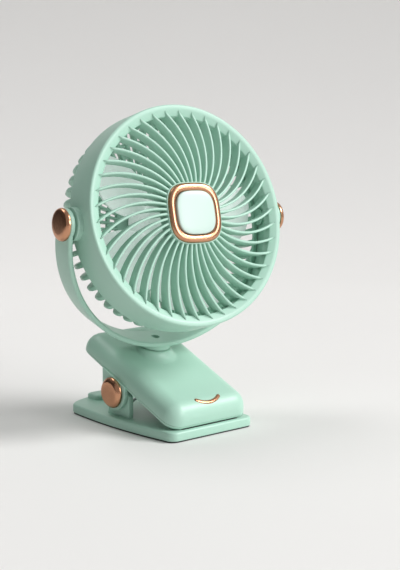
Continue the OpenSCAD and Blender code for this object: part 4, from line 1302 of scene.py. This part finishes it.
# %% Rings and hub plate of the cage
RING_SHARES = (0.24, 0.43, 0.62, 0.81)
RING_LIFT = 0.8
HUB_PLATE_RADIUS = 22
HUB_PLATE_FRONT = -21
TUBE_INNER = 2.5
TUBE_OUTER = 4
TUBE_FRONT = -2
HUB_PLATE = [
    (TUBE_INNER, CAGE_BACK, 0),
    (HUB_PLATE_RADIUS, CAGE_BACK, 0.5),
    (HUB_PLATE_RADIUS, HUB_PLATE_FRONT, 0.5),
    (TUBE_OUTER, HUB_PLATE_FRONT, 0),
    (TUBE_OUTER, TUBE_FRONT, 0.3),
    (TUBE_INNER, TUBE_FRONT, 0.2),
]


def cage_ring(outer, width, low, height):
    """A flat ring with rounded edges."""
    section = rectangle(outer - width, outer, low, low + height, corner=0.35, steps=2)
    return lathe("ring", section, steps=128)


rings = [cage_ring(outer=55.9, width=2.2, low=-4.4, height=2.1)]
for share in RING_SHARES:
    outer = CAGE_TIP + (HUB_PLATE_RADIUS - CAGE_TIP) * share
    low = CAGE_REAR - CAGE_DOME * share + RING_LIFT
    rings.append(cage_ring(outer, width=2.1, low=low, height=2))
rings.append(lathe("hub_plate", rounded(HUB_PLATE, 3)))
finish_piece(join("rear_rings", rings), HEAD, "head", "mint", ["rear_grille"])

# %% [markdown]
# Five broad blades are cut from curved sheet. The sheet is a thin arc extruded along the blade,
# pitched, and trimmed to a round plan and to the tip circle. The hub that goes over the motor is a
# cup with a rounded front edge.

# %% Blades and hub cup
BLADE_COUNT = 5
BLADE_TIP = 49.7
BLADE_PITCH = 25
BLADE_CAMBER = 60
BLADE_HALF_THICK = 0.65
BLADE_HEIGHT = -2.1
BLADE_PLAN = 17.15
BLADE_MIDDLE = 33.35
BLADE_FROM = 8
BLADE_TO = 56
BLADE_HALF_ANGLE = 22
HUB_CUP = [(1.55, 3.6, 0), (17, 3.6, 1.6), (17, -17, 0.3), (15.22, -17, 0)]
HUB_CUP += [(15.22, 1.42, 0), (1.55, 1.42, 0)]


def blade_section():
    """A thin arc with the blade's camber, seen from the tip."""
    first = 90 - BLADE_HALF_ANGLE
    last = 90 + BLADE_HALF_ANGLE
    outer = arc(0, -BLADE_CAMBER, BLADE_CAMBER + BLADE_HALF_THICK, first, last, steps=16)
    inner = arc(0, -BLADE_CAMBER, BLADE_CAMBER - BLADE_HALF_THICK, last, first, steps=16)
    return outer + inner


blades = plate("blade_set", blade_section(), BLADE_FROM, BLADE_TO)
settle(blades, Matrix.Translation((0, 0, BLADE_HEIGHT)) @ turned("X", BLADE_PITCH) @ SIDE_VIEW)
round_plan = rod("round_plan", BLADE_PLAN, -CUTTER_REACH, CUTTER_REACH, steps=72)
settle(round_plan, Matrix.Translation((BLADE_MIDDLE, 0, 0)))
combine(blades, round_plan, "INTERSECT")
tip_circle = rod("tip_circle", BLADE_TIP, -CUTTER_REACH, CUTTER_REACH, steps=160)
combine(blades, tip_circle, "INTERSECT")
soften(blades, width=0.4, segments=2, angle=50)
repeat(blades, BLADE_COUNT)
hub_cup = lathe("hub_cup", rounded(HUB_CUP, 4))
finish_piece(join("blade_set", [blades, hub_cup]), HEAD, "rotor", "frosted", ["fan_blades"])

# %% [markdown]
# The floor is a plain pale sheet that sweeps up into a wall behind the fan, as a roll of paper does
# in a studio. It belongs to the stage and not to the fan.

# %% Floor and backdrop
PAINT_SHADE = 0.985


def plain_paint(name, colour):
    """A dull paint whose colour hardly changes over the sheet."""
    finish = Finish(name, Specular_IOR_Level=0.2)
    drift = finish.noise(per_metre=6, detail=2)
    shade = tuple(c * PAINT_SHADE for c in colour[:3]) + (1,)
    finish.set("Base Color", finish.mix(drift, shade, colour))
    finish.set("Roughness", finish.between(drift, 0.6, 0.7))
    return finish.material


SHEET_WIDTH = 5
WALL_HEIGHT = 2.2
SWEEP_RADIUS = 0.35
WALL_BEHIND = 0.9
SWEEP_STEPS = 16
PALE = (0.80, 0.79, 0.775, 1)

bpy.ops.object.select_all(action="DESELECT")
bpy.ops.mesh.primitive_plane_add(size=SHEET_WIDTH, location=(0, 0, 0))
floor = bpy.context.active_object
floor.name = "floor_and_backdrop"
bpy.ops.object.mode_set(mode="EDIT")
mark("EDGE", lambda edge: all(v.co.y > 0 for v in edge.verts))
bpy.ops.mesh.extrude_region_move(TRANSFORM_OT_translate={"value": (0, 0, WALL_HEIGHT)})
mark("EDGE", lambda edge: all(v.co.y > 0 and v.co.z == 0 for v in edge.verts))
bpy.ops.mesh.bevel(offset=SWEEP_RADIUS, segments=SWEEP_STEPS, affect="EDGES")
bpy.ops.object.mode_set(mode="OBJECT")
back_off = Matrix.Translation((0, WALL_BEHIND - SHEET_WIDTH / 2, 0))
settle(floor, turned("Z", -CAMERA_AZIMUTH) @ back_off)
bpy.ops.object.shade_smooth()
floor.data.materials.append(plain_paint("pale_paper", PALE))
print("Stage", floor.name)

# %% [markdown]
# The light is that of a bright studio: one broad soft source ahead and to the right, and an even
# grey surround that fills the shaded side. The source is a sun lamp with a wide disc, because its
# light is the same everywhere, so the floor stays even. Two area lamps add soft highlights.

# %% Lamps and surround
LOOK_AT = Vector((0, -0.01, 0.08))
SUN_DISC = 24
SURROUND_COLOUR = (0.80, 0.80, 0.81, 1)
SURROUND_STRENGTH = 0.46


def lamp_at(kind, name, spot, strength):
    """A lamp that shines on the middle of the fan."""
    bpy.ops.object.light_add(type=kind, location=spot)
    lamp = bpy.context.active_object
    lamp.name = name
    lamp.data.energy = strength
    lamp.rotation_euler = (LOOK_AT - Vector(spot)).to_track_quat("-Z", "Y").to_euler()
    return lamp


def area_lamp(name, spot, size, watts):
    lamp = lamp_at("AREA", name, spot, watts)
    lamp.data.shape = "DISK"
    lamp.data.size = size
    return lamp


sun = lamp_at("SUN", "key_light", (0.9, -0.9, 1.15), strength=2.15)
sun.data.angle = math.radians(SUN_DISC)
area_lamp("front_lamp", (0.3, -1.05, 0.45), size=0.5, watts=4.5)
area_lamp("top_lamp", (-0.2, 0.5, 1.0), size=0.6, watts=3)

world = bpy.data.worlds.new("studio")
world.use_nodes = True
bpy.context.scene.world = world
surround = world.node_tree.nodes["Background"]
surround.inputs["Color"].default_value = SURROUND_COLOUR
surround.inputs["Strength"].default_value = SURROUND_STRENGTH
bpy.context.scene.view_settings.view_transform = "Standard"

# %% [markdown]
# Metal looks like metal only when it has something dark to mirror. In a studio a black card stands
# beside the object for that. This one stands on the left. The camera doesn't see it, and it throws
# no shadow.

# %% Dark card
CARD_SIZE = 1.2
CARD_AWAY = 0.6
CARD_HEIGHT = 0.62
DARK = (0.03, 0.03, 0.03, 1)

bpy.ops.object.select_all(action="DESELECT")
bpy.ops.mesh.primitive_plane_add(size=CARD_SIZE, location=(0, 0, 0))
card = bpy.context.active_object
card.name = "dark_card"
card_off = Matrix.Translation((-CARD_AWAY, 0, CARD_HEIGHT))
settle(card, turned("Z", -CAMERA_AZIMUTH) @ card_off @ RIGHTWARDS)
card.data.materials.append(plain_paint("dark_paper", DARK))
card.visible_camera = False
card.visible_shadow = False
print("Stage", card.name)
